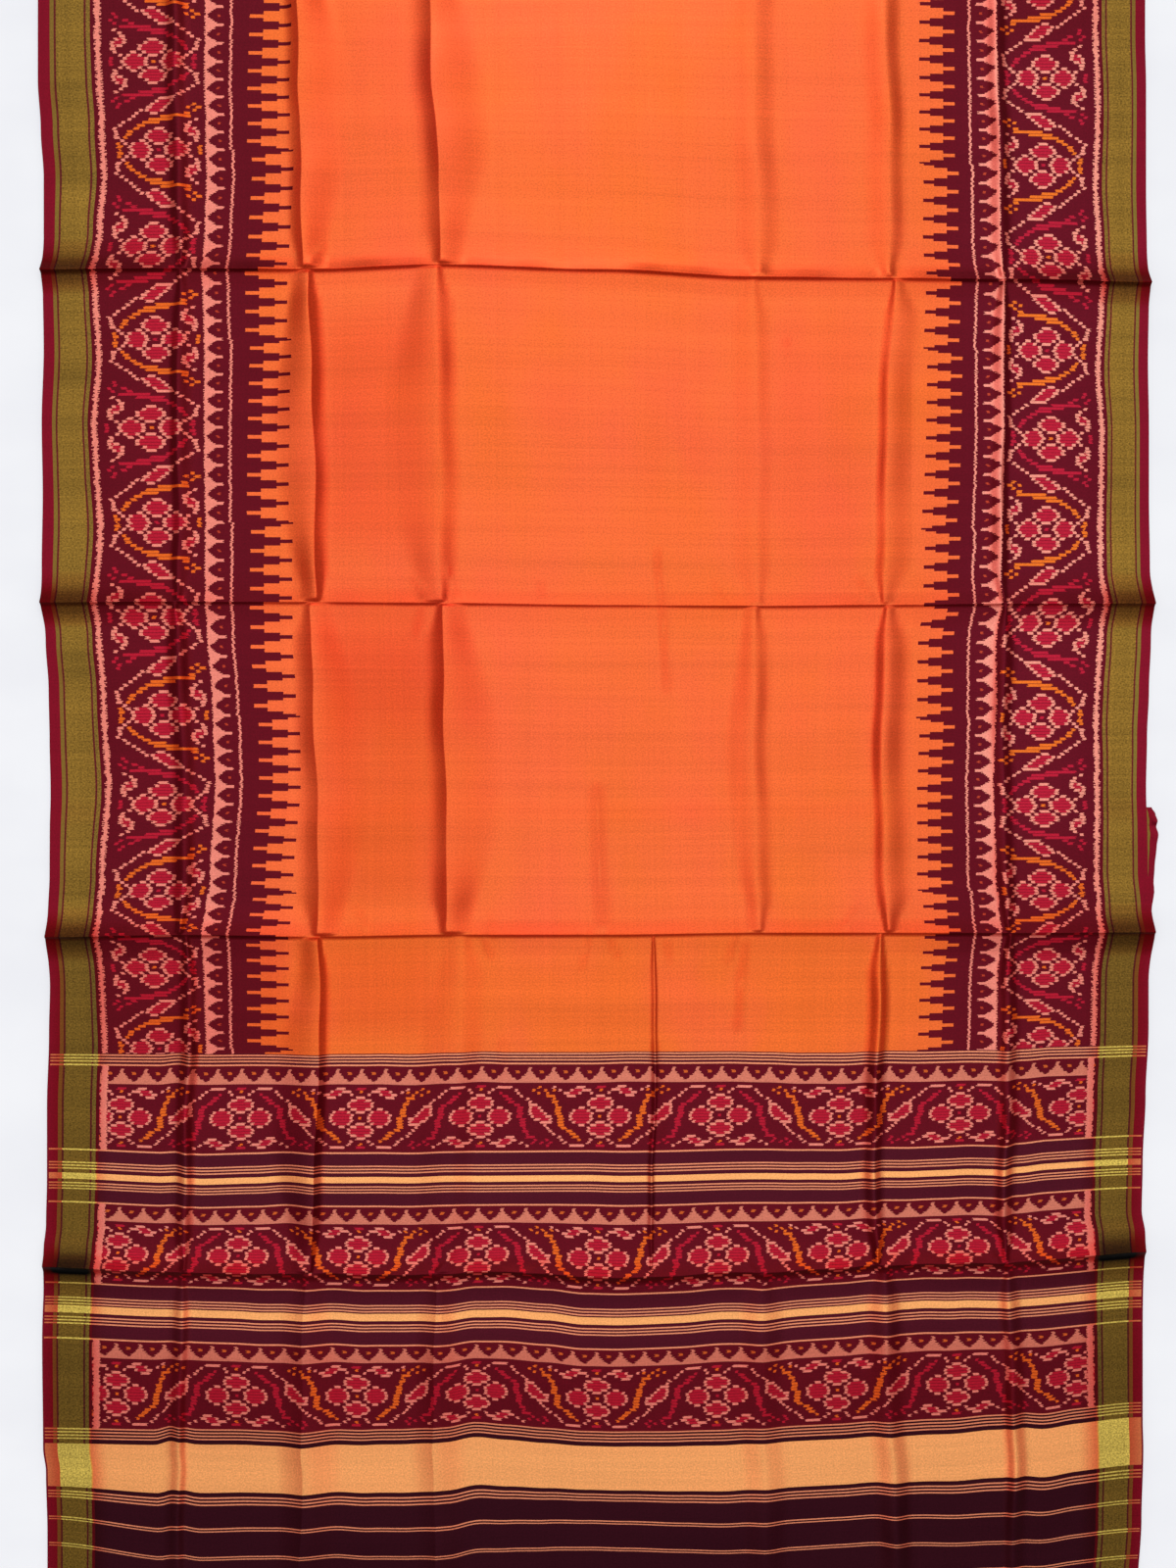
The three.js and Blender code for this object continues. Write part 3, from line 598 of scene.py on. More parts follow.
def sharpenRim(data, rim, count):  # sharp edges along a thin sheet's rim, above and below
    ends = np.zeros(len(data.edges) * 2, int)
    data.edges.foreach_get("vertices", ends)
    ends = ends.reshape(-1, 2)
    sameLayer = ends[:, 0] // count == ends[:, 1] // count
    ends = np.sort(ends % count, 1)
    wanted = np.sort(np.stack([rim, np.roll(rim, -1)], -1), 1)
    onRim = np.isin(ends[:, 0] * count + ends[:, 1], wanted[:, 0] * count + wanted[:, 1])
    attribute = data.attributes.get("sharp_edge") or data.attributes.new("sharp_edge", "BOOLEAN", "EDGE")
    attribute.data.foreach_set("value", onRim & sameLayer)
    data.update()


def addPiece(name, data):
    piece = bpy.data.objects.new(name, data)
    scene.collection.objects.link(piece)
    return piece


def shellPiece(name, rows, nominal, parts, split):
    t = rows[:, None] + np.zeros(len(nominal))
    s = columnsAt(nominal, rows)
    high, wide = t.shape
    points = np.concatenate([clothPoint(s, t, depth).reshape(-1, 3) for depth in (0, cloth["shown"])])
    faces, faceCorners, rim = shellFaces(high, wide)
    own = faces.reshape(-1) % (high * wide)
    # the face is parted along or across, and each part has its own stretch of the bake
    u = spread(nominal)[own % wide]
    v = spread(rows)[own // wide]
    first = faces.min(1) % (high * wide)
    line = np.repeat(first // wide if split == "along" else first % wide, 4)
    places = spread(rows) if split == "along" else spread(nominal)
    breaks = [*[np.searchsorted(places, part / parts) for part in range(parts)], len(places) - 1]
    bake = np.zeros((len(own), 2))
    for part, (start, end) in enumerate(zip(breaks, breaks[1:])):
        here = (np.arange(len(own)) < faceCorners) & (line >= start) & (line < end)
        low, length = places[start], places[end] - places[start]
        partU, partV = (u, (v - low) / length) if split == "along" else ((u - low) / length, v)
        bake[here] = facePlaces(partU, partV, part, parts, split)[here]
    under = slice(faceCorners, 2 * faceCorners)
    bake[under, 0] = layout["under"][0] + u[under] * layout["under"][1]
    bake[under, 1] = layout["margin"] + v[under] * layout["face"][1]
    rimU, rimV = rimPlaces(len(rim))
    bake[2 * faceCorners:, 0] = layout["margin"] + rimU * layout["rimLength"]
    bake[2 * faceCorners:, 1] = layout["rim"][0] + rimV * layout["rim"][1]
    data = clothMesh(name, points, faces, own, s, t, bake)
    sharpenRim(data, rim, high * wide)
    return addPiece(name, data)


def linesBetween(lines, start, end):
    return lines[(lines > start - mesh["same"]) & (lines < end + mesh["same"])]


lastRow = allRows[-1]
farEdge = cloth["width"]
stretches = {  # node, along from and to, across from and to, parts of the bake and how they are split
    "palluEnd": ("pallu_end", 0, cloth["bandSeam"], 0, farEdge, 2, "across"),
    "palluBands": ("pallu_bands", cloth["bandSeam"], cloth["pallu"], 0, farEdge, 2, "across"),
}
for label, start, end in (("Near", cloth["pallu"], cloth["nearEnd"]), ("Far", cloth["nearEnd"], lastRow)):
    stretches["field" + label] = ("field_" + label.lower(), start, end, *seams, 1, "along")
for side, start, end in (("Left", 0, seams[0]), ("Right", seams[1], farEdge)):
    for label, near, far in (("Near", cloth["pallu"], cloth["nearEnd"]), ("Far", cloth["nearEnd"], lastRow)):
        node = "border_" + side.lower() + "_" + label.lower()
        stretches["border" + side + label] = (node, near, far, start, end, 2, "along")
shown = {}
for name, (node, tStart, tEnd, sStart, sEnd, parts, split) in stretches.items():
    rows = linesBetween(allRows, tStart, tEnd)
    shown[name] = shellPiece(name, rows, linesBetween(nominalColumns, sStart, sEnd), parts, split)
    print("stretch", name, len(shown[name].data.polygons), "faces")

# The hidden layers: three stretches of one low stack, with two folded layers showing at its sides
hidden = {
    "breaks": [cloth["hiddenFrom"], 790, 1570, turnStart - cloth["gap"]],
    "step": 14.0,
    "beside": [2, 6, 13, 24, 36],
    "depth": 1.35,            # of its top below the shown face
    # the sides, from the top down: share of the height, and how far two layers or one reach out there
    "shares": [1, 0.92, 0.8, 0.66, 0.56, 0.5, 0.44, 0.34, 0.2, 0.08, 0],
    "twoLayers": [0, 0.7, 1.0, 0.8, 0.1, -0.8, 0.1, 0.8, 1.0, 0.7, 0],
    "oneLayer": [0, 0.4, 0.8, 1.1, 1.25, 1.3, 1.25, 1.1, 0.8, 0.4, 0],
    "inset": 2.6,
    "byCorner": (690, 840),   # here the right side draws back, and the hidden end's corner shows
    "cornerInset": 8.0,
    "topPlace": (0.004, 0.2),
    "underPlace": (0.22, 0.77),
    "sidePlace": (0.915, 0.08),
    "tall": 0.9,
}


def hiddenInset(t, side):  # how far the stack's side lies inside the cloth's edge
    start = 0 if side == "left" else 2
    uneven = hidden["inset"] + swing(t, (0.9, 97, start), (0.5, 23, start + 1))
    low, high = hidden["byCorner"]
    return np.where((t > low) & (t < high) & (side == "right"), hidden["cornerInset"], uneven)


def hiddenPiece(name, start, end):
    rows = stations(start, end, [row[0] for row in creases], hidden["step"], hidden["beside"])
    nominal = stations(0.0, cloth["width"], [at for _, at in columnFolds], hidden["step"], hidden["beside"])
    s = columnsAt(nominal, rows)
    s[:, 0] = hiddenInset(rows, "left")
    s[:, -1] = cloth["width"] - hiddenInset(rows, "right")
    t = rows[:, None] + np.zeros(len(nominal))
    high, wide = t.shape
    quads, rim = gridFaces(high, wide)
    flat = clothPoint(s, t, hidden["depth"]).reshape(-1, 3)
    out = np.zeros((len(rim), 2))
    out[rim % wide == 0, 0] = -1
    out[rim % wide == wide - 1, 0] = 1
    if start == hidden["breaks"][0]:
        out[rim // wide == 0, 1] = -1
    layered = smooth((cloth["hiddenEnd"] - t.reshape(-1)[rim]) / cloth["layerStep"])
    points = [flat]
    rings = [rim]
    total = len(flat)
    for share, two, one in zip(hidden["shares"][1:-1], hidden["twoLayers"][1:-1], hidden["oneLayer"][1:-1]):
        ring = flat[rim].copy()
        ring[:, :2] += out * (one * (1 - layered) + two * layered)[:, None]
        ring[:, 2] *= share
        points.append(ring)
        rings.append(np.arange(total, total + len(rim)))
        total += len(rim)
    points.append(flat * [1, 1, 0])
    rings.append(rim + total)
    faces = [quads, quads[:, ::-1] + total]
    faces += [bandFaces(upper, lower) for upper, lower in zip(rings, rings[1:])]
    sources = np.concatenate([np.arange(len(flat)), *[rim for _ in rings[1:-1]], np.arange(len(flat))])
    faces = np.concatenate(faces)
    own = sources[faces.reshape(-1)]
    # in the bake the top takes a narrow strip, the underside most of the rest, the sides the upper rim
    u = (nominal / cloth["width"])[own % wide]
    v = spread(rows)[own // wide]
    bake = np.zeros((len(own), 2))
    top = slice(0, len(quads) * 4)
    under = slice(len(quads) * 4, len(quads) * 8)
    for here, (place, width) in ((top, hidden["topPlace"]), (under, hidden["underPlace"])):
        bake[here, 0] = place + u[here] * width
        bake[here, 1] = layout["margin"] + v[here] * hidden["tall"]
    bands = len(rings) - 1
    place, tall = hidden["sidePlace"]
    rimU, rimV = rimPlaces(len(rim))
    for band in range(bands):
        here = slice(len(quads) * 8 + band * len(rim) * 4, len(quads) * 8 + (band + 1) * len(rim) * 4)
        bake[here, 0] = layout["margin"] + rimU * layout["rimLength"]
        bake[here, 1] = place + (band + rimV * 0.9) * tall / bands
    return addPiece(name, clothMesh(name, np.concatenate(points), faces, own, s, t, bake))


hiddenNames = ["hiddenNear", "hiddenMiddle", "hiddenFar"]
for name, start, end in zip(hiddenNames, hidden["breaks"], hidden["breaks"][1:]):
    shown[name] = hiddenPiece(name, start, end)
print("hidden layers", sum(len(shown[name].data.polygons) for name in hiddenNames), "faces")

# The corner of the hidden end: along, how far it reaches past the edge, lift, curl at its rim
corner = {
    "rows": np.array([
        (699, 0.5, 0, 0), (718, 2.5, 0, 0.1), (742, 7, 0, 0.2), (766, 9.2, 0.1, 0.5), (786, 11, 0.3, 1.2),
        (798, 12.5, 0.4, 2.2), (806, 11, 0.2, 0.9), (812, 11.5, 0.6, 2.6), (819, 10, 0.4, 1.7),
        (826, 7, 0, 0.4),
    ]),
    "columns": 14,
    "rowsBetween": 5,
    "thickness": 0.6,
    "under": 6.4,             # how far it reaches in under the cloth
    "ruffle": 0.25,
    "lowest": -0.2,
    "calm": 0.15,             # where its rim curls less than this, it has no ruffle
    "backWidth": 28,          # how much of the border its width shows
    "flowerPitch": 95,
    "flat": (0.017, 0.127),   # metres
    "wave": (3.1, 2.3),       # length of the ruffle's waves, along and across
    "bakeFace": (0.44, 0.9),
    "bakeTop": (0.01, 0.01),
    "bakeUnder": (0.5, 0.01),
    "bakeRim": (0.01, 0.95),
    "bakeRimSize": (0.98, 0.03),
}


def cornerPiece():
    along = corner["rows"][:, 0]
    count = (len(along) - 1) * corner["rowsBetween"] + 1
    places = np.interp(np.linspace(0, len(along) - 1, count), np.arange(len(along)), along)
    reach, lift, curl = np.moveaxis(readTable(corner["rows"], places)[..., None], 1, 0)
    share = np.linspace(0, 1, corner["columns"])
    inner = cloth["width"] - corner["under"]
    s = inner + (cloth["width"] + reach - inner) * share
    t = places[:, None] + np.zeros(len(share))
    top = clothPoint(s, t, 0)
    waves = np.sin(t / corner["wave"][0] + s / corner["wave"][1])
    ruffle = corner["ruffle"] * waves * smooth(share * 2) * (curl > corner["calm"])
    raised = lift * smooth(share * 2) + curl * smooth((share - 0.5) * 2)
    top[..., 2] = raised + np.maximum(ruffle, corner["lowest"]) + corner["thickness"]
    high, wide = t.shape
    top = top.reshape(-1, 3)
    low = top - [0, 0, corner["thickness"]]
    low[:, 2] = np.maximum(low[:, 2], 0)
    faces, faceCorners, rim = shellFaces(high, wide)
    own = faces.reshape(-1) % (high * wide)
    bake = np.stack([own % wide / (wide - 1), own // wide / (high - 1)], -1) * corner["bakeFace"]
    bake[:faceCorners] += corner["bakeTop"]
    bake[faceCorners:2 * faceCorners] += corner["bakeUnder"]
    bake[2 * faceCorners:] = corner["bakeRim"] + np.stack(rimPlaces(len(rim)), -1) * corner["bakeRimSize"]
    # it shows the cloth's back: crimson edge outside, tissue stripe inside
    border = (corner["backWidth"] * (1 - share) / 1000 + np.zeros(t.shape), t / corner["flowerPitch"])
    data = clothMesh("hiddenCorner", np.concatenate([top, low]), faces, own, s, t, bake, border)
    sharpenRim(data, rim, high * wide)
    return addPiece("hiddenCorner", data)


shown["hiddenCorner"] = cornerPiece()


# Colours, as the eye reads them from 0 to 255
def paint(red, green, blue):
    def linear(value):
        value = value / 255
        return value / 12.92 if value <= 0.04045 else ((value + 0.055) / 1.055) ** 2.4

    return (linear(red), linear(green), linear(blue), 1)


glossLift = 0.73  # a dye is darker than the silk it makes, because the gloss brightens it


def dye(red, green, blue):
    return (*[value * glossLift for value in paint(red, green, blue)[:3]], 1)


dyes = {
    "orange": dye(248, 109, 56),
    "orangePink": dye(250, 98, 66),
    "orangeGold": dye(240, 112, 38),
    "maroon": dye(102, 12, 28),
    "maroonDark": dye(83, 18, 34),
    "endDark": dye(56, 11, 25),
    "crimson": dye(186, 26, 50),
    "selvedge": dye(132, 14, 36),
    "peach": dye(243, 139, 122),
    "temple": dye(218, 124, 102),
    "cream": dye(246, 152, 112),
    "palePeach": dye(266, 184, 112),
    "ochre": dye(237, 106, 33),
    "olive": dye(140, 106, 40),
    "lime": dye(132, 102, 42),
    "limeBright": dye(262, 226, 106),
    "dot": dye(184, 62, 40),
    "spot": dye(210, 96, 40),
    "edgePeach": dye(222, 128, 80),
    "seamRed": dye(104, 36, 34),
}


class Wires:  # short calls that wire a node tree
    def __init__(self, tree):
        self.tree = tree

    def feed(self, socket, value):
        if isinstance(value, bpy.types.NodeSocket):
            self.tree.links.new(value, socket)
        else:
            socket.default_value = value

    def node(self, kind, inputs=None, **settings):
        made = self.tree.nodes.new(kind)
        for key, value in settings.items():
            setattr(made, key, value)
        for key, value in (inputs or {}).items():
            self.feed(made.inputs[key], value)
        return made

    def math(self, operation, *values):
        return self.node("ShaderNodeMath", dict(enumerate(values)), operation=operation).outputs[0]

    def plus(self, a, b):
        return self.math("ADD", a, b)

    def minus(self, a, b):
        return self.math("SUBTRACT", a, b)

    def times(self, a, b):
        return self.math("MULTIPLY", a, b)

    def over(self, a, b):
        return self.math("DIVIDE", a, b)

    def total(self, values):
        result = values[0]
        for value in values[1:]:
            result = self.plus(result, value)
        return result

    def less(self, a, b):
        return self.math("LESS_THAN", a, b)

    def more(self, a, b):
        return self.math("GREATER_THAN", a, b)

    def both(self, a, b):
        return self.times(a, b)

    def between(self, value, low, high):
        return self.both(self.more(value, low), self.less(value, high))

    def near(self, value, centre, half):
        return self.less(self.math("ABSOLUTE", self.minus(value, centre)), half)

    def scaled(self, value, low, high, least, most):  # a value's range turned into another one
        made = self.node("ShaderNodeMapRange", {0: value, 1: low, 2: high, 3: least, 4: most})
        return made.outputs[0]

    def parts(self, vector):
        return self.node("ShaderNodeSeparateXYZ", {0: vector}).outputs

    def blend(self, mask, under, over):
        made = self.node("ShaderNodeMix", {0: mask, 6: under, 7: over}, data_type="RGBA")
        return made.outputs[2]

    def steps(self, value, stops, largest):  # a stepped table of numbers: from where, value
        ramp = self.ramp(value, [(place, (*[number / largest] * 3, 1)) for place, number in stops])
        return self.times(ramp, float(largest))

    def ramp(self, value, stops, interpolation="CONSTANT"):
        made = self.node("ShaderNodeValToRGB", {0: value})
        made.color_ramp.interpolation = interpolation
        elements = made.color_ramp.elements
        while len(elements) < len(stops):
            elements.new(0.5)
        for element, (place, _) in zip(elements, stops):
            element.position = place
        for element, (place, colour) in zip(elements, stops):
            element.color = colour
        return made.outputs[0]

    def noise(self, vector, scale, detail=2.0, roughness=0.5):
        mapped = self.node("ShaderNodeMapping", {"Vector": vector, "Scale": scale}).outputs[0]
        made = self.node("ShaderNodeTexNoise", {"Vector": mapped, "Scale": 1.0, "Detail": detail,
                                                "Roughness": roughness})
        return made.outputs[0]

    def use(self, group, inputs):
        made = self.node("ShaderNodeGroup", node_tree=group)
        for key, value in inputs.items():
            self.feed(made.inputs[key], value)
        return made.outputs


def newGroup(name, inputs, outputs):
    tree = bpy.data.node_groups.new(name, "ShaderNodeTree")
    kinds = {"value": "NodeSocketFloat", "colour": "NodeSocketColor", "vector": "NodeSocketVector"}
    for label, kind in inputs:
        tree.interface.new_socket(label, in_out="INPUT", socket_type=kinds[kind])
    for label, kind in outputs:
        tree.interface.new_socket(label, in_out="OUTPUT", socket_type=kinds[kind])
    wires = Wires(tree)
    return tree, wires, tree.nodes.new("NodeGroupInput").outputs, tree.nodes.new("NodeGroupOutput").inputs


# The woven flowers, charted as runs of cells. c cream, r crimson, o ochre; s is a streak that is
# crimson beside the first kind of flower and ochre beside the second, d a dot that is the other way round.
# Border: rows run along the cloth from a flower's centre to the leaf, cells from the outer side inwards.
borderChart = [
    "s2-3 c8-9 r10-19 c20-21 d24-25 c28-29 r30-37 c38-39 s45-45",
    "s2-3 c9-10 r11-19 c20-21 c29-30 r31-38 c39-40 s44-46",
    "c7-8 c11-12 r13-16 c17-18 c22-26 c30-31 r32-36 c37-38 c41-42 s45-46",
    "c4-5 c13-15 c19-20 r21-27 c28-29 c32-34 c43-44",
    "c3-5 c17-18 r19-29 c30-31 s41-42 c45-47",
    "c3-4 r5-5 c6-8 c17-18 r19-29 c30-31 s39-41 c46-47",
    "c3-4 r5-8 c9-10 c20-21 r22-27 c28-29 s38-40 c46-47",
    "c5-6 r7-8 c9-10 c22-26 s35-37 c47-48",
    "c8-10 s32-35 c44-45",
    "c7-8 s24-32 c42-43",
    "c4-5 s17-29 c39-40",
    "s8-23 c37-38",
    "r4-5 r12-14 c27-35",
    "r2-3 r9-11 c25-26 r27-32 c33-34",
    "r5-6 c22-23 r24-30 c31-32 o44-45",
    "r4-5 c20-22 r23-28 c29-30 o41-42 o46-48",
    "c16-17 c19-20 r21-26 c27-28 o44-45",
    "c14-15 c22-25 o40-42",
]
borderSize = {"rows": 30, "cells": 51, "shared": 12}  # shared: rows that the next flower's half repeats
palluSize = {"rows": 23, "cells": 42}
# End piece: rows run down a band, cells across from a flower to the leaf, then the leaf and dots alone
palluChart = {
    2: "r0-1 c6-10", 3: "o0-0 c4-4 c12-12", 4: "c3-3 s7-7 c13-13", 5: "c0-1 s8-9 c14-14",
    6: "r0-1 c2-3 s9-10 c16-16", 7: "r0-3 c4-4 s10-11", 8: "r0-3 c4-4 s12-13",
    9: "r0-1 c2-3 c6-7 s13-14", 10: "c0-1 c4-4 r5-8 c9-9 s13-14", 11: "c3-3 r4-9 c10-10 s13-14",
    12: "s0-0 c3-3 r4-9 c10-10 s13-14", 13: "c3-3 r4-9 c10-10 s14-15", 14: "c0-1 c4-4 r5-8 c9-9 s14-15",
    15: "r0-1 c2-3 c6-7 s14-15", 16: "r0-3 c4-4 s15-15", 17: "r0-3 c4-4 s15-16", 18: "r0-1 c2-3 s16-16",
    19: "c0-1 c9-11 s16-18", 20: "c3-3 c7-7 r8-10 c11-12", 21: "o0-0 c4-6 r7-9 c10-10 c14-14",
    22: "r0-1 c6-8 c16-16",
}
palluLeaf = {
    2: "o20-20", 3: "o18-18 o22-22 o25-25", 4: "o20-20 o23-23", 7: "c17-17", 8: "c17-19",
    9: "c17-17 r18-19 c20-20", 10: "c17-17 r18-20 c21-21", 11: "c17-17 r18-21 c22-22",
    12: "c18-18 r19-22 c23-24", 13: "c19-20 r21-23 c24-24", 14: "c21-24", 15: "c22-22", 16: "c23-23",
    17: "c24-24", 20: "r19-19 r23-23", 21: "r18-18 r21-21 r24-24", 22: "r23-23",
}


def readRuns(text):
    return [(run[0], int(run[1:].split("-")[0]), int(run[1:].split("-")[1])) for run in text.split()]


def chartMasks(rows, cells, entries):  # entries: row, text, turned round or not
    masks = {key: [[0] * cells for _ in range(rows)] for key in "cro"}
    for row, text, turned in entries:
        for kind, first, last in readRuns(text):
            if kind == "s":
                kind = "o" if turned else "r"
            elif kind == "d":
                kind = "r" if turned else "o"
            for cell in range(first, last + 1):
                masks[kind][row][cells - 1 - cell if turned else cell] = 1
    return masks


lastCharted = borderSize["rows"] - 1
entries = [(row, text, False) for row, text in enumerate(borderChart)]
entries += [(lastCharted - row, text, True) for row, text in enumerate(borderChart[:borderSize["shared"]])]
borderMasks = chartMasks(borderSize["rows"], borderSize["cells"], entries)
entries = [(row - 1, text, False) for row, text in palluChart.items()]
entries += [(palluSize["rows"] - row, text, True) for row, text in palluChart.items()]
entries += [(row - 1, text, False) for row, text in palluLeaf.items()]
palluMasks = chartMasks(palluSize["rows"], palluSize["cells"], entries)


def chartGroup(name, masks):  # three masks looked up by row share and cell
    tree, wires, given, result = newGroup(
        name, [("Row", "value"), ("Cell", "value")],
        [("Cream", "value"), ("Crimson", "value"), ("Ochre", "value")])
    bits = len(masks["c"][0]) // 3  # each channel of a stop holds a third of a row's cells as one number
    third = wires.math("FLOOR", wires.over(wires.plus(given["Cell"], 0.5), float(bits)))
    inThird = wires.minus(given["Cell"], wires.times(third, float(bits)))
    divisor = wires.math("POWER", 2.0, wires.plus(inThird, 1.0))
    for label, key in (("Cream", "c"), ("Crimson", "r"), ("Ochre", "o")):
        rows = masks[key]
        stops = []
        for number, row in enumerate(rows):
            packed = [sum(value << place for place, value in enumerate(row[part * bits:(part + 1) * bits]))
                      for part in range(3)]
            stops.append((number / len(rows), (*[value / 2 ** bits for value in packed], 1)))
        colour = wires.ramp(given["Row"], stops)
        split = wires.node("ShaderNodeSeparateColor", {0: colour}).outputs
        value = wires.total([wires.both(split[part], wires.near(third, float(part), 0.5))
                             for part in range(3)])
        value = wires.times(value, float(2 ** bits))
        wires.feed(result[label], wires.more(wires.math("FRACT", wires.over(value, divisor)), 0.4999))
    return tree


borderFlowers = chartGroup("borderFlowers", borderMasks)
palluFlowers = chartGroup("palluFlowers", palluMasks)


picks = {
    "perMetre": 1050.0,
    "bodySlip": 2.3,
    "palluSlip": 2.2,
    "filled": 0.43,           # half of the share of a charted row that its colour fills
}


def raggedGroup():  # how far each pick of the weft slips sideways, which feathers the dyed edges
    tree, wires, given, result = newGroup(
        "ikatSlip", [("Along", "value"), ("Reach", "value")], [("Slip", "value"), ("Second slip", "value")])
    pick = wires.math("FLOOR", wires.times(given["Along"], picks["perMetre"]))
    for label, seed in (("Slip", 0.31), ("Second slip", 77.17)):
        noise = wires.node("ShaderNodeTexWhiteNoise", {"W": wires.plus(pick, seed)}, noise_dimensions="1D")
        wires.feed(result[label], wires.times(wires.minus(noise.outputs[0], 0.5), given["Reach"]))
    return tree


ikatSlip = raggedGroup()

# Places in the border's own measure, millimetres from the edge
border = {
    "selvedge": [(0, "selvedge"), (11.5, "lime"), (15.5, "seamRed"), (17.5, "olive"), (44.8, "seamRed"),
                 (46.8, "lime"), (51, "maroon")],
    "selvedgeWidth": 64.0,
    "tissue": (16.0, 51.5),
    "peachLine": (55.7, 61.0),
    "peachRough": 1.5,
    "flowers": 65.4,
    "cell": 105.6 / 51,
    "temple": 171.2,
    "templeSteps": [(0, 19), (0.15, 11.6), (0.3, 9.4), (0.46, 7.2), (0.62, 5.2), (0.78, 3.1)],
    "toothCount": 5.0,        # from one flower to the next
    "dots": (185.7, 1.4, 0.87),  # place, half height, from where between two teeth
    "thinLine": (198.1, 1.15, 2.0),  # place, half width, shift from one block of weft to the next
    "teeth": [(0, 259.5), (0.19, 246.6), (0.44, 230.4), (0.81, 216.2)],
    "teethShift": 4.8,
    "teethRough": 0.25,
    "golden": (0.7, 0.694, 0.6),  # metres along where the ground turns golden, from and to, and how much
}


def toothPlace(wires, count):  # 0 at a tooth's middle, 1 between two
    part = wires.math("FRACT", wires.plus(wires.times(count, border["toothCount"]), 0.5))
    return wires.times(wires.math("ABSOLUTE", wires.minus(part, 0.5)), 2.0)


def selvedgeColours(wires, across):
    wide = border["selvedgeWidth"]
    stops = [(place / wide, dyes[dye]) for place, dye in border["selvedge"]]
    return wires.ramp(wires.over(across, wide), stops)


def fromNearest(wires, count):  # 0 at one flower, a half at the next, and back again
    half = wires.times(count, 0.5)
    return wires.math("ABSOLUTE", wires.minus(half, wires.math("ROUND", half)))


def dyeFlowers(wires, found, inside, colour):
    for label, dye in (("Crimson", "crimson"), ("Ochre", "ochre"), ("Cream", "peach")):
        colour = wires.blend(wires.both(found[label], inside), colour, dyes[dye])
    return colour


def bodyGroup():  # the whole width of the body: borders, teeth, orange ground
    tree, wires, given, result = newGroup(
        "bodyWeave", [("Weave", "vector"), ("Border", "vector")],
        [("Colour", "colour"), ("Orange", "value"), ("Tissue", "value")])
    place = wires.parts(given["Weave"])
    bordered = wires.parts(given["Border"])
    across = wires.times(bordered[0], 1000.0)
    count = bordered[1]
    slip = wires.use(ikatSlip, {"Along": place[1], "Reach": picks["bodySlip"]})
    ragged, raggedToo = [wires.plus(across, slip[number]) for number in (0, 1)]
    side = wires.minus(wires.times(wires.less(place[0], cloth["width"] / 2000), 2.0), 1.0)
    block = wires.minus(wires.math("FRACT", wires.times(wires.plus(count, 1.0), 0.5)), 0.5)
    block = wires.both(block, side)
    colour = selvedgeColours(wires, across)
    colour = wires.blend(wires.more(across, border["selvedgeWidth"]), colour, dyes["maroon"])
    # peach line beside the tissue stripe
    low, high = border["peachLine"]
    outer, inner = [wires.plus(across, wires.times(slip[number], border["peachRough"])) for number in (0, 1)]
    line = wires.both(wires.more(outer, low), wires.less(inner, high))
    colour = wires.blend(line, colour, dyes["peach"])
    # flowers
    cell = wires.math("FLOOR", wires.over(wires.minus(ragged, border["flowers"]), border["cell"]))
    inside = wires.both(wires.more(cell, -0.5), wires.less(cell, borderSize["cells"] - 0.5))
    rowPlace = wires.plus(wires.times(fromNearest(wires, count), 2.0 * lastCharted), 0.5)
    row = wires.over(wires.plus(wires.math("FLOOR", rowPlace), 0.5), float(borderSize["rows"]))
    inside = wires.both(inside, wires.near(wires.math("FRACT", rowPlace), 0.5, picks["filled"]))
    colour = dyeFlowers(wires, wires.use(borderFlowers, {"Row": row, "Cell": cell}), inside, colour)
    # temple row, its dots and the thin line
    tooth = toothPlace(wires, count)
    tall = wires.steps(tooth, border["templeSteps"], 20)
    temple = wires.both(wires.more(wires.minus(raggedToo, border["temple"]), 0.0),
                        wires.less(wires.minus(ragged, border["temple"]), tall))
    colour = wires.blend(temple, colour, dyes["peach"])
    at, half, between = border["dots"]
    dot = wires.both(wires.more(tooth, between), wires.near(ragged, at, half))
    colour = wires.blend(dot, colour, dyes["dot"])
    at, half, shift = border["thinLine"]
    thin = wires.near(wires.plus(ragged, wires.times(block, shift)), at, half)
    colour = wires.blend(thin, colour, dyes["peach"])
    # teeth of the orange ground
    limit = wires.steps(tooth, border["teeth"], 300)
    steps = wires.plus(across, wires.times(block, border["teethShift"]))
    steps = wires.plus(steps, wires.times(slip[1], border["teethRough"]))
    orange = wires.more(steps, limit)
    start, end, most = border["golden"]
    ground = wires.blend(wires.scaled(place[1], start, end, 0.0, most), dyes["orange"], dyes["orangeGold"])
    wires.feed(result["Colour"], wires.blend(orange, colour, ground))
    wires.feed(result["Orange"], orange)
    wires.feed(result["Tissue"], wires.between(across, *border["tissue"]))
    return tree


bodyWeave = bodyGroup()


def stripeGroup():  # a set of woven lines: first edge, pitch, how many, width
    tree, wires, given, result = newGroup(
        "stripeSet", [("Along", "value"), ("First", "value"), ("Pitch", "value"), ("Count", "value"),
                      ("Width", "value")], [("Mask", "value")])
    place = wires.over(wires.minus(given["First"], given["Along"]), given["Pitch"])
    inSet = wires.both(wires.more(place, 0.0), wires.less(place, given["Count"]))
    inLine = wires.less(wires.times(wires.math("FRACT", place), given["Pitch"]), given["Width"])
    wires.feed(result["Mask"], wires.both(inSet, inLine))
    return tree


stripeSet = stripeGroup()


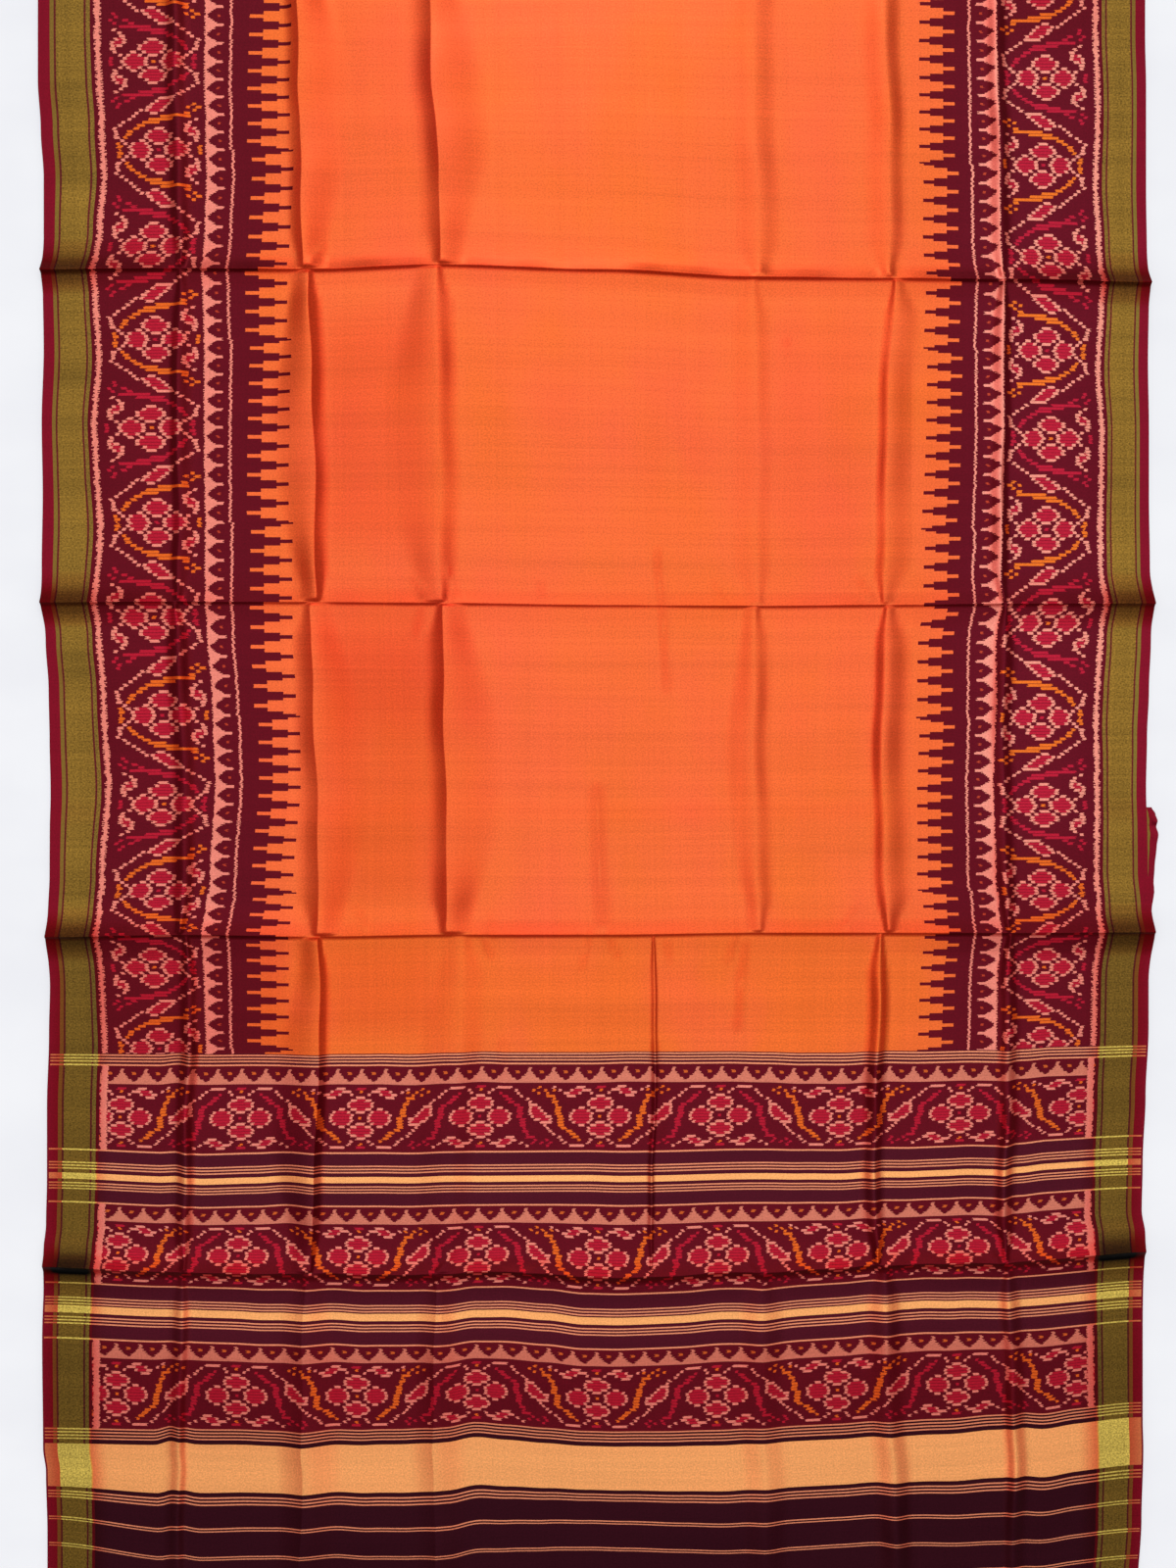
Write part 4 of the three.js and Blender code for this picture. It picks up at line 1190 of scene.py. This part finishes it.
# The end piece: sets of lines (photo place, pitch, count, width), bands of flowers, pale bands
pallu = {
    "lines": [
        (1074.5, 3.1, 3, 1.4), (1084.4, 3, 1, 1.6), (1173.8, 3, 1, 1.6), (1187.5, 3.1, 3, 1.35),
        (1208.6, 2.95, 3, 1.3), (1228.7, 3, 1, 1.6), (1318, 3, 1, 1.6), (1334, 3.1, 3, 1.35),
        (1354, 3.1, 3, 1.35), (1374.6, 3, 1, 1.6), (1460, 3.2, 4, 1.35), (1524, 3, 3, 1.3),
        (1551, 27.2, 4, 1.15), (1553.6, 27.2, 4, 1.0),
    ],
    "pale": [(1199, 1205.2), (1343, 1350.5), (1475.5, 1520)],
    "bands": [(1104.9, 1173.3), (1248.8, 1317.2), (1393, 1459.4)],
    "temples": [(1089, 1104.7), (1233, 1248.6), (1378.5, 1392.8)],
    "templeSteps": [(0, 1.0), (0.13, 0.7), (0.27, 0.56), (0.42, 0.44), (0.58, 0.33), (0.74, 0.24),
                    (0.86, 0.17)],
    "dots": (0.7, 0.09, 0.84),  # share of a tooth's height, half height, from where between two teeth
    "frames": [(1084.4, 1175), (1228.7, 1319), (1374.6, 1461)],
    "firstFlower": 201.0,     # across, of the first flower with the crimson streaks
    "pitch": 124.4,
    "barOuter": 54.5,
    "bar": (55.9, 62.9),
    "onTissue": (16.0, 53.0),
    "selvedgeTo": 54.0,
    "bare": 2.0,              # the lines stop this short of the cloth's edge
    "dark": 1461,
}


def palluGroup():
    tree, wires, given, result = newGroup(
        "palluWeave", [("Weave", "vector"), ("Border", "vector")],
        [("Colour", "colour"), ("Tissue", "value")])
    place = wires.parts(given["Weave"])
    along = wires.times(place[1], 1000.0)
    across = wires.times(wires.parts(given["Border"])[0], 1000.0)
    slip = wires.use(ikatSlip, {"Along": place[1], "Reach": picks["palluSlip"]})
    ragged = wires.plus(wires.times(place[0], 1000.0), slip[0])
    isDark = wires.less(along, fromPhoto(pallu["dark"]))
    colour = wires.blend(isDark, dyes["maroonDark"], dyes["endDark"])
    count = wires.over(wires.minus(ragged, pallu["firstFlower"]), pallu["pitch"])
    # rows of whichever band this is in
    tooth = toothPlace(wires, count)
    tall = wires.steps(tooth, pallu["templeSteps"], 1)
    dotAt, dotHalf, dotFrom = pallu["dots"]
    shares, bands, frames, temples, dots = [], [], [], [], []
    for (top, low), (tip, base), (above, below) in zip(pallu["bands"], pallu["temples"], pallu["frames"]):
        share = wires.over(wires.minus(fromPhoto(top), along), fromPhoto(top) - fromPhoto(low))
        bands.append(wires.between(share, 0.0, 1.0))
        shares.append(wires.both(share, bands[-1]))
        up = wires.over(wires.minus(along, fromPhoto(base)), fromPhoto(tip) - fromPhoto(base))
        temples.append(wires.both(wires.more(up, 0.0), wires.less(up, tall)))
        dots.append(wires.both(wires.near(up, dotAt, dotHalf), wires.more(tooth, dotFrom)))
        frames.append(wires.between(along, fromPhoto(below), fromPhoto(above)))
    inFrames = wires.total(frames)
    colour = wires.blend(inFrames, colour, dyes["maroon"])
    row = wires.total(shares)
    cellPlace = wires.times(fromNearest(wires, count), 2.0 * (palluSize["cells"] - 1))
    cell = wires.math("FLOOR", wires.plus(cellPlace, 0.5))
    found = wires.use(palluFlowers, {"Row": row, "Cell": cell})
    ofRow = wires.math("FRACT", wires.times(row, float(palluSize["rows"])))
    inside = wires.both(wires.total(bands), wires.near(ofRow, 0.5, picks["filled"]))
    colour = dyeFlowers(wires, found, inside, colour)
    colour = wires.blend(wires.total(temples), colour, dyes["temple"])
    colour = wires.blend(wires.total(dots), colour, dyes["spot"])
    bar = wires.between(wires.plus(across, slip[0]), *pallu["bar"])
    colour = wires.blend(wires.both(bar, inFrames), colour, dyes["peach"])
    colour = wires.blend(wires.less(across, pallu["barOuter"]), colour, dyes["maroonDark"])
    colour = wires.blend(wires.less(across, pallu["selvedgeTo"]), colour, selvedgeColours(wires, across))
    # woven lines and pale bands run from edge to edge, over the tissue and the crimson edge
    lines = wires.total([wires.use(stripeSet, {
        "Along": along, "First": fromPhoto(first), "Pitch": pitch * photo["scale"],
        "Count": float(number), "Width": width * photo["scale"],
    })[0] for first, pitch, number, width in pallu["lines"]])
    pale = wires.total([wires.between(along, fromPhoto(low), fromPhoto(top)) for top, low in pallu["pale"]])
    low, high = pallu["onTissue"]
    thread = wires.blend(pale, dyes["cream"], dyes["palePeach"])
    thread = wires.blend(wires.between(across, low, high), thread, dyes["limeBright"])
    thread = wires.blend(wires.less(across, low), thread, dyes["edgePeach"])
    woven = wires.math("MINIMUM", wires.plus(lines, pale), 1.0)
    woven = wires.both(woven, wires.more(across, pallu["bare"]))
    wires.feed(result["Colour"], wires.blend(woven, colour, thread))
    wires.feed(result["Tissue"], wires.between(across, *border["tissue"]))
    return tree


palluWeave = palluGroup()


silk = {
    "grain": 1.15,            # how strongly single threads differ, and how much more in the tissue
    "tissueGrain": 2.0,
    "tissueUneven": 1.8,
    "steepRedShade": 0.55,             # painted shade: on its steep sides the cloth is painted redder and darker
    "steepShade": 0.1,
    "red": (0.6, 1.0),        # power of the painted light and shade, in silk and in tissue; red and green differ so painted shade turns redder
    "green": (2.3, 1.0),
    "tint": 0.5,              # how far the orange ground turns pink or gold
    "tintFrom": 0.5,
    "pinkAt": 0.72,
    "goldAt": 0.3,
    "bump": (0.35, 0.0004),
    "roughSpread": 0.16,
    "specular": 0.05,
    "metallic": 0.46,
}


def threadGroup():  # threads, slubs and uneven dye, shared by all the silks
    tree, wires, given, result = newGroup(
        "silkThreads", [("Weave", "vector"), ("Streak", "value")],
        [("Height", "value"), ("Tone", "value"), ("Patch", "value"), ("Fine", "value")])
    weft = wires.noise(given["Weave"], (70, 1150, 1), 2.0, 0.6)
    warp = wires.noise(given["Weave"], (1150, 60, 1), 2.0, 0.6)
    bars = wires.noise(given["Weave"], (0.8, 34, 1), 3.0, 0.65)
    slubs = wires.noise(given["Weave"], (2.5, 330, 1), 3.0, 0.7)
    streaks = wires.noise(given["Weave"], (240, 0.9, 1), 3.0, 0.6)
    tone = wires.plus(wires.times(bars, 0.5), wires.times(slubs, 0.5))
    tone = wires.minus(wires.plus(tone, wires.times(streaks, 0.3)), 0.65)
    wires.feed(result["Height"], wires.plus(wires.times(weft, 0.6), wires.times(warp, 0.4)))
    wires.feed(result["Tone"], wires.plus(wires.times(tone, given["Streak"]), 1.0))
    wires.feed(result["Patch"], wires.noise(given["Weave"], (7, 4.5, 1), 3.0, 0.55))
    wires.feed(result["Fine"], wires.noise(given["Weave"], (520, 620, 1), 3.0, 0.7))
    return tree


def paintedShadingGroup():  # how uneven dye, threads, painted light and shade, and painted shade on steep slopes change a silk's colour
    tree, wires, given, result = newGroup(
        "silkPaintedShading", [("Colour", "colour"), ("Orange", "value"), ("Tissue", "value"), ("Tone", "value"),
                       ("Patch", "value"), ("Fine", "value"), ("Painted shading", "vector")], [("Colour", "colour")])
    grain = wires.plus(wires.times(given["Tissue"], silk["tissueGrain"]), silk["grain"])
    grain = wires.times(wires.minus(given["Fine"], 0.5), grain)
    uneven = wires.plus(wires.times(given["Tissue"], silk["tissueUneven"]), 1.0)
    tone = wires.times(wires.minus(given["Tone"], 1.0), uneven)
    tone = wires.times(wires.plus(tone, 1.0), wires.plus(grain, 1.0))
    # the ground's dye turns a little pinker and a little yellower from place to place
    pink = wires.scaled(given["Patch"], silk["tintFrom"], silk["pinkAt"], 0.0, silk["tint"])
    gold = wires.scaled(given["Patch"], silk["tintFrom"], silk["goldAt"], 0.0, silk["tint"])
    shifted = wires.blend(pink, given["Colour"], dyes["orangePink"])
    shifted = wires.blend(gold, shifted, dyes["orangeGold"])
    colour = wires.blend(given["Orange"], given["Colour"], shifted)
    paintedShading, tilt, _ = wires.parts(given["Painted shading"])
    # painted shade: the steep sides are painted darker here and redder below
    tone = wires.times(tone, wires.minus(1.0, wires.times(tilt, silk["steepShade"])))
    red, green = [
        wires.times(tone, wires.math("POWER", paintedShading, wires.plus(
            wires.times(given["Tissue"], silk[name][1] - silk[name][0]), silk[name][0])))
        for name in ("red", "green")]
    green = wires.times(green, wires.minus(1.0, wires.times(tilt, silk["steepRedShade"])))
    shift = wires.node("ShaderNodeCombineXYZ", {0: red, 1: green, 2: green}).outputs[0]
    colour = wires.node("ShaderNodeVectorMath", {0: colour, 1: shift}, operation="MULTIPLY").outputs[0]
    wires.feed(result["Colour"], colour)
    return tree


silkThreads = threadGroup()
silkPaintedShading = paintedShadingGroup()


def silkMaterial(name, weaveGroup, streak, roughness):
    material = bpy.data.materials.new(name)
    material.use_nodes = True
    material.node_tree.nodes.clear()
    wires = Wires(material.node_tree)
    # the third map holds painted light and shade, and the slope that sets the painted shade on steep sides
    weave, bordered, paintedShading = [wires.node("ShaderNodeUVMap", uv_map=label).outputs[0]
                               for label in ("weave", "border", "paintedShading")]
    woven = wires.use(weaveGroup, {"Weave": weave, "Border": bordered})
    threads = wires.use(silkThreads, {"Weave": weave, "Streak": streak})
    given = {label: woven[label] for label in ("Colour", "Orange", "Tissue") if label in woven}
    given.update({label: threads[label] for label in ("Tone", "Patch", "Fine")})
    colour = wires.use(silkPaintedShading, {**given, "Painted shading": paintedShading})[0]
    strength, distance = silk["bump"]
    bump = wires.node("ShaderNodeBump", {
        "Height": threads["Height"], "Strength": strength, "Distance": distance,
    })
    rough = wires.plus(wires.times(threads["Fine"], silk["roughSpread"]), roughness - silk["roughSpread"] / 2)
    shader = wires.node("ShaderNodeBsdfPrincipled", {
        "Base Color": colour, "Roughness": rough, "Normal": bump.outputs[0],
        "Specular IOR Level": silk["specular"], "Metallic": silk["metallic"],
    })
    output = wires.node("ShaderNodeOutputMaterial")
    wires.feed(output.inputs[0], shader.outputs[0])
    return material


materials = {
    "orangeSilk": silkMaterial("orangeSilk", bodyWeave, 0.6, 0.37),
    "borderSilk": silkMaterial("borderSilk", bodyWeave, 0.46, 0.39),
    "palluSilk": silkMaterial("palluSilk", palluWeave, 0.46, 0.39),
    "endSilk": silkMaterial("endSilk", palluWeave, 0.46, 0.39),
    "hiddenSilk": silkMaterial("hiddenSilk", bodyWeave, 0.46, 0.42),
}
print("materials", sorted(materials))

finish = {  # how a piece's name starts, then its material and its slot
    "palluEnd": ("endSilk", "end_silk"),
    "palluBands": ("palluSilk", "pallu_silk"),
    "field": ("orangeSilk", "orange_silk"),
    "border": ("borderSilk", "border_silk"),
    "hidden": ("hiddenSilk", "hidden_silk"),
}
for name, piece in shown.items():
    material, slotName = next(row for start, row in finish.items() if name.startswith(start))
    piece.data.materials.append(materials[material])
    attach(piece, "root")

for name, (node, tStart, tEnd, sStart, sEnd, _, _) in stretches.items():
    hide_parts(node)
for name in hiddenNames:
    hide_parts("under_layers")
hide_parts("under_corner")

# Stage, light and camera
stage = {
    "floor": paint(238, 239, 243),
    "floorShade": paint(233, 234, 239),
    "reach": 30,              # metres
    "fill": 0.3,
    "skyPower": 1.95,
    "skyFrom": (0.0, 0.14, 0.99),
    "skySpread": 76,
    "windowPower": 0.65,
    "windowFrom": (0.0, 0.75, 0.66),
    "windowSpread": 12,
    "sensor": 36,
    "cameraBase": 0.005,      # the camera's height is measured from here
}
reach = stage["reach"]
floorData = bpy.data.meshes.new("floor")
floorData.from_pydata([(-reach, -reach, 0), (reach, -reach, 0), (reach, reach, 0), (-reach, reach, 0)],
                      [], [(0, 1, 2, 3)])
floor = addPiece("floor", floorData)
floorMaterial = bpy.data.materials.new("paleFloor")
floorMaterial.use_nodes = True
floorShader = floorMaterial.node_tree.nodes["Principled BSDF"]
floorWires = Wires(floorMaterial.node_tree)
floorPlace = floorWires.node("ShaderNodeTexCoord").outputs["Object"]
softShade = floorWires.noise(floorPlace, (5, 9, 1), 3.0, 0.5)
floorColour = floorWires.ramp(softShade, [(0.3, stage["floorShade"]), (0.7, stage["floor"])], "EASE")
floorWires.feed(floorShader.inputs["Base Color"], floorColour)
floorShader.inputs["Roughness"].default_value = 0.9
floorData.materials.append(floorMaterial)

world = bpy.data.worlds.new("softRoom")
world.use_nodes = True
world.node_tree.nodes["Background"].inputs[0].default_value = (1.0, 1.0, 1.0, 1)
world.node_tree.nodes["Background"].inputs[1].default_value = stage["fill"]
scene.world = world


def farLight(name):
    data = bpy.data.lights.new(name + "Light", "SUN")
    data.energy = stage[name + "Power"]
    data.angle = math.radians(stage[name + "Spread"])
    light = bpy.data.objects.new(name + "Light", data)
    light.rotation_mode = "QUATERNION"
    light.rotation_quaternion = Vector(stage[name + "From"]).to_track_quat("Z", "Y")
    scene.collection.objects.link(light)


for name in ("sky", "window"):
    farLight(name)

cameraHeight, frameLength = photo["camera"]
middleX = (photo["middle"][0] - photo["clothColumn"]) * photo["scale"] + shiftX
middleY = fromPhoto(photo["middle"][1]) + shiftY
cameraData = bpy.data.cameras.new("camera")
cameraData.sensor_fit = "VERTICAL"
cameraData.sensor_width = stage["sensor"]
cameraData.sensor_height = stage["sensor"]
cameraData.lens = stage["sensor"] * cameraHeight / frameLength
camera = bpy.data.objects.new("camera", cameraData)
scene.collection.objects.link(camera)
camera.location = (middleX / 1000, middleY / 1000, cameraHeight + stage["cameraBase"])
camera.rotation_euler = (0, 0, 0)
scene.camera = camera
scene.view_settings.view_transform = "Standard"
scene.view_settings.look = "None"
